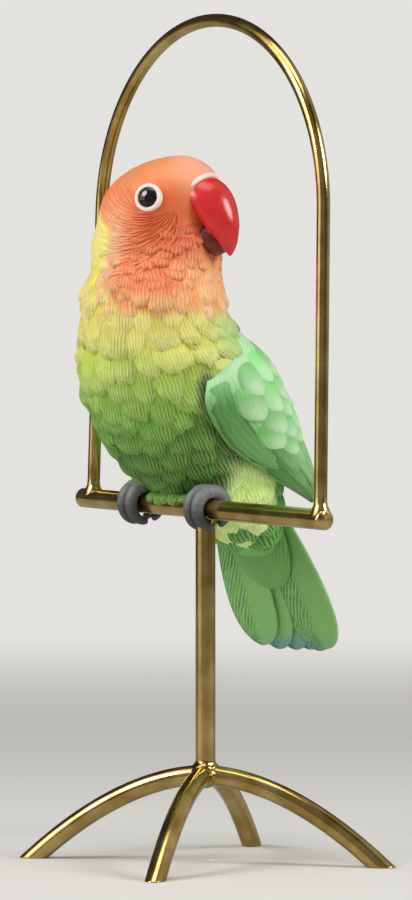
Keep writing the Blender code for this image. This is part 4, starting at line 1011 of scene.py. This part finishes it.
# ---- Eyes ----
# A raised ring of bare pale skin is cast round each eye. The eye is a low dome of the same casting in
# glossy black-brown glaze, which gives it one sharp highlight.
EYE_DIAMETER = 5.0 * MM
EYE_RING = 6.7 * MM
EYE_BULGE = 0.48        # the dome's height as a share of its radius
eye_glaze = glazed("glazed_eye", "#1E1410", "#070505", 0.04)
ahead = EYE_AHEAD / float(station(HEAD, 2, EYE_TALL))
eye_out = float(station(HEAD, 4, EYE_TALL)) * HEAD_WIDTH / 2 * math.sqrt(1 - ahead ** 2)
for side, name in ((1.0, "right"), (-1.0, "left")):
    centre = head_place(EYE_AHEAD * HEAD_LENGTH / 2, side * eye_out, eye_height)
    facing = Vector(0.20 * HEAD_FORWARD - side * HEAD_SIDE + np.array([0, 0, 0.16])).normalized()
    seat = bird_place @ Matrix.Translation(Vector(centre) + facing * 0.1 * MM)
    seat = seat @ facing.to_track_quat("Z", "Y").to_matrix().to_4x4()
    turn = np.arange(64) * 2 * np.pi / 64
    t = np.linspace(0, np.pi, 20)
    tube = (EYE_RING + EYE_DIAMETER * 0.92) / 4
    thick = (EYE_RING - EYE_DIAMETER * 0.92) / 4
    profile = np.stack([tube + thick * np.cos(t), thick * 0.85 * np.sin(t)], axis=-1)
    profile = np.concatenate([[[EYE_RING / 2, -1.2 * MM]], profile])
    lid = np.stack([profile[:, :1] * np.cos(turn), profile[:, :1] * np.sin(turn), profile[:, 1:] + 0 * turn],
                   axis=-1)
    painted(name + "_eye_ring", lid, linear("#F4E4E0"), 0.0, 1.0, 0.0, place=seat, wrap=True,
            inside=put([0, 0, -4 * MM], seat))
    t = np.linspace(0.02, 1, 24)[:, None] * np.pi / 2
    dome = np.stack([np.cos(turn) * np.sin(t), np.sin(turn) * np.sin(t), np.cos(t) * EYE_BULGE + 0 * turn],
                    axis=-1)
    dress(skin(name + "_eye", put(dome * EYE_DIAMETER / 2, seat), wrap=True, ends=True,
               inside=put([0, 0, -2 * MM], seat)), eye_glaze, "bisque")

# ---- Feet ----
# Four cast toes to each foot close round the bar, two in front and two behind, painted grey with painted
# shade in the creases and underneath and a painted highlight on top. Cement between them and the brass
# holds the bird on.
TOE = 3.5 * MM
FOOT_SPACING = 28.2 * MM
TOE_START = 115.0       # degrees round the bar
FRONT_TOE_END = -98.0
BACK_TOE_END = -62.0
grip = ROD / 2 + 0.3 * MM + TOE / 2 - 0.15 * MM
toes, creases = [], []
for foot_side in (-0.5, 0.5):
    middle = BIRD_OFFSET + foot_side * FOOT_SPACING
    for spread in (-0.5, 0.5):
        for way, last in ((-1, FRONT_TOE_END), (1, BACK_TOE_END)):
            t = np.linspace(0, 1, 64)[:, None]
            a = np.radians(TOE_START + (last - TOE_START) * t)
            turn = np.linspace(0, 2 * np.pi, 24, endpoint=False)[None]
            radius = TOE / 2 * (1.0 - 0.28 * t - 0.3 * t ** 6) * (1 + 0.012 * np.cos(t * 34))
            radius = radius * np.sqrt(np.clip(1 - ((t - 0.965) / 0.036).clip(0, 1) ** 2, 0.02, 1))
            ring = grip + radius * np.cos(turn)
            slide = middle + spread * TOE * (0.86 + 0.18 * t) + radius * np.sin(turn)
            toes.append(np.stack([slide, way * ring * np.cos(a), ring * np.sin(a)], axis=-1))
            creases.append(t * 11 + 0 * turn)
toes = np.array(toes)
# painted light: lighter grey on top of the toes, darker grey underneath
grey_lit_from_above = blend("#4A4C4E", "#85888A", fade(-2.5 * MM, 5.0 * MM, toes[..., 2]))
painted("toes", toes, grey_lit_from_above, np.array(creases), 0.7, 0.14, place=bar_place, wrap=True, ends=True,
        inside=bar_middle)

# ---- Studio ----
# A plain pale table, a pale backdrop and three soft lamps. The camera stands where the photo's did, with
# a long lens.
camera_turn = math.radians(15.5)
towards_camera = np.array([math.sin(camera_turn), -math.cos(camera_turn), 0.0])
data = bpy.data.cameras.new("photo_camera")
data.sensor_fit = "VERTICAL"
data.sensor_height = 36.0
data.lens = 176.0
data.shift_x = 0.5 / 900
data.shift_y = -40 / 900
data.clip_end = 20.0
camera = bpy.data.objects.new("photo_camera", data)
bpy.context.scene.collection.objects.link(camera)
camera.location = stand_axis + towards_camera * 1.05 + np.array([0, 0, 0.108])
camera.rotation_euler = (math.radians(90), 0.0, camera_turn)
bpy.context.scene.camera = camera
bpy.context.scene.view_settings.view_transform = "Standard"

PALE = "#E4E2DE"
ring = np.linspace(0, 2 * np.pi, 96, endpoint=False)
reach = np.array([0.001, 0.2, 0.6, 1.5, 6.0])[:, None]
table = np.stack([reach * np.cos(ring), reach * np.sin(ring), 0 * reach * ring - 0.00002], axis=-1)
floor = skin("table_top", table, wrap=True, inside=(0, 0, -1))
# smooth painted board: soft shadows near the stand, fading into the backdrop further off, and half
# shaded in what the brass mirrors, so that the rods get their dark undersides
board, tree, shader, place = new_material("painted_board")
feed(tree, shader, {"Base Color": (*linear(PALE), 1.0), "Roughness": 0.6})
away = node(tree, "VectorMath", {0: place}, operation="LENGTH")
far_off = node(tree, "MapRange", {"Value": away, "From Min": 0.25, "From Max": 1.1},
               interpolation_type="SMOOTHSTEP")
light_path = node(tree, "LightPath")
share = node(tree, "Math", {0: far_off, 1: light_path.outputs["Is Camera Ray"]}, operation="MULTIPLY")
glow = node(tree, "Emission", {"Color": (*linear(PALE), 1.0), "Strength": 1.0})
mixed = node(tree, "MixShader", {0: share, 1: shader, 2: glow})
# painted reflection: to glossy rays the board is half a dim brown glow, so the brass mirrors a darker table
dark_reflection = node(tree, "Emission", {"Color": (*linear("#6A6258"), 1.0), "Strength": 0.35})
glossy = node(tree, "Math", {0: light_path.outputs["Is Glossy Ray"], 1: 0.5}, operation="MULTIPLY")
shown = node(tree, "MixShader", {0: glossy, 1: mixed, 2: dark_reflection})
feed(tree, tree.nodes["Material Output"], {"Surface": shown})
floor.data.materials.append(board)

# a pale room, in which the brass mirrors a dark surround with three upright panels of light
world = bpy.data.worlds.new("studio")
bpy.context.scene.world = world
world.use_nodes = True
tree = world.node_tree
background = tree.nodes["Background"]
way = node(tree, "TexCoord").outputs["Generated"]
right_hand = (math.cos(camera_turn), math.sin(camera_turn), 0.0)
over = node(tree, "VectorMath", {0: way, 1: right_hand}, operation="DOT_PRODUCT")
back = node(tree, "VectorMath", {0: way, 1: tuple(towards_camera)}, operation="DOT_PRODUCT")
bearing = node(tree, "Math", {0: over, 1: back}, operation="ARCTAN2")
mirrored = 0.06
for middle, half_width, power in ((-1.3, 0.50, 1.9), (-0.15, 0.75, 0.20), (1.95, 0.75, 0.42)):
    off = node(tree, "Math", {0: bearing, 1: middle}, operation="SUBTRACT")
    away = node(tree, "Math", {0: off}, operation="ABSOLUTE")
    panel = node(tree, "MapRange", {"Value": away, "From Min": 0.5 * half_width, "From Max": half_width,
                                    "To Min": power, "To Max": 0.0}, interpolation_type="SMOOTHSTEP")
    mirrored = node(tree, "Math", {0: panel, 1: mirrored}, operation="ADD")
light_path = node(tree, "LightPath")
mirror_ray = node(tree, "Math", {0: light_path.outputs["Is Glossy Ray"],
                                 1: light_path.outputs["Is Transmission Ray"]}, operation="MAXIMUM")
lit = node(tree, "Mix", {"Factor": mirror_ray, "A": 0.36, "B": mirrored}, data_type="FLOAT")
strength = node(tree, "Mix", {"Factor": light_path.outputs["Is Camera Ray"], "A": lit, "B": 1.0},
                data_type="FLOAT")
feed(tree, background, {"Color": (*linear(PALE), 1.0), "Strength": strength})

for name, turn, tilt, distance, size, power in (("left_softbox", -62, 34, 0.9, 0.45, 5.0),
                                                ("right_softbox", 66, 28, 0.9, 0.40, 4.2),
                                                ("top_softbox", 5, 80, 0.8, 0.5, 1.6)):
    lamp = bpy.data.lights.new(name, "AREA")
    lamp.shape = "DISK"
    lamp.size = size
    lamp.energy = power
    holder = bpy.data.objects.new(name, lamp)
    bpy.context.scene.collection.objects.link(holder)
    way, tilt = camera_turn + math.radians(turn), math.radians(tilt)
    level = math.cos(tilt)
    spot = Vector((math.sin(way) * level, -math.cos(way) * level, math.sin(tilt))) * distance
    holder.location = Vector((0.0, 0.0, 0.11)) + spot
    holder.rotation_euler = spot.to_track_quat("Z", "Y").to_euler()
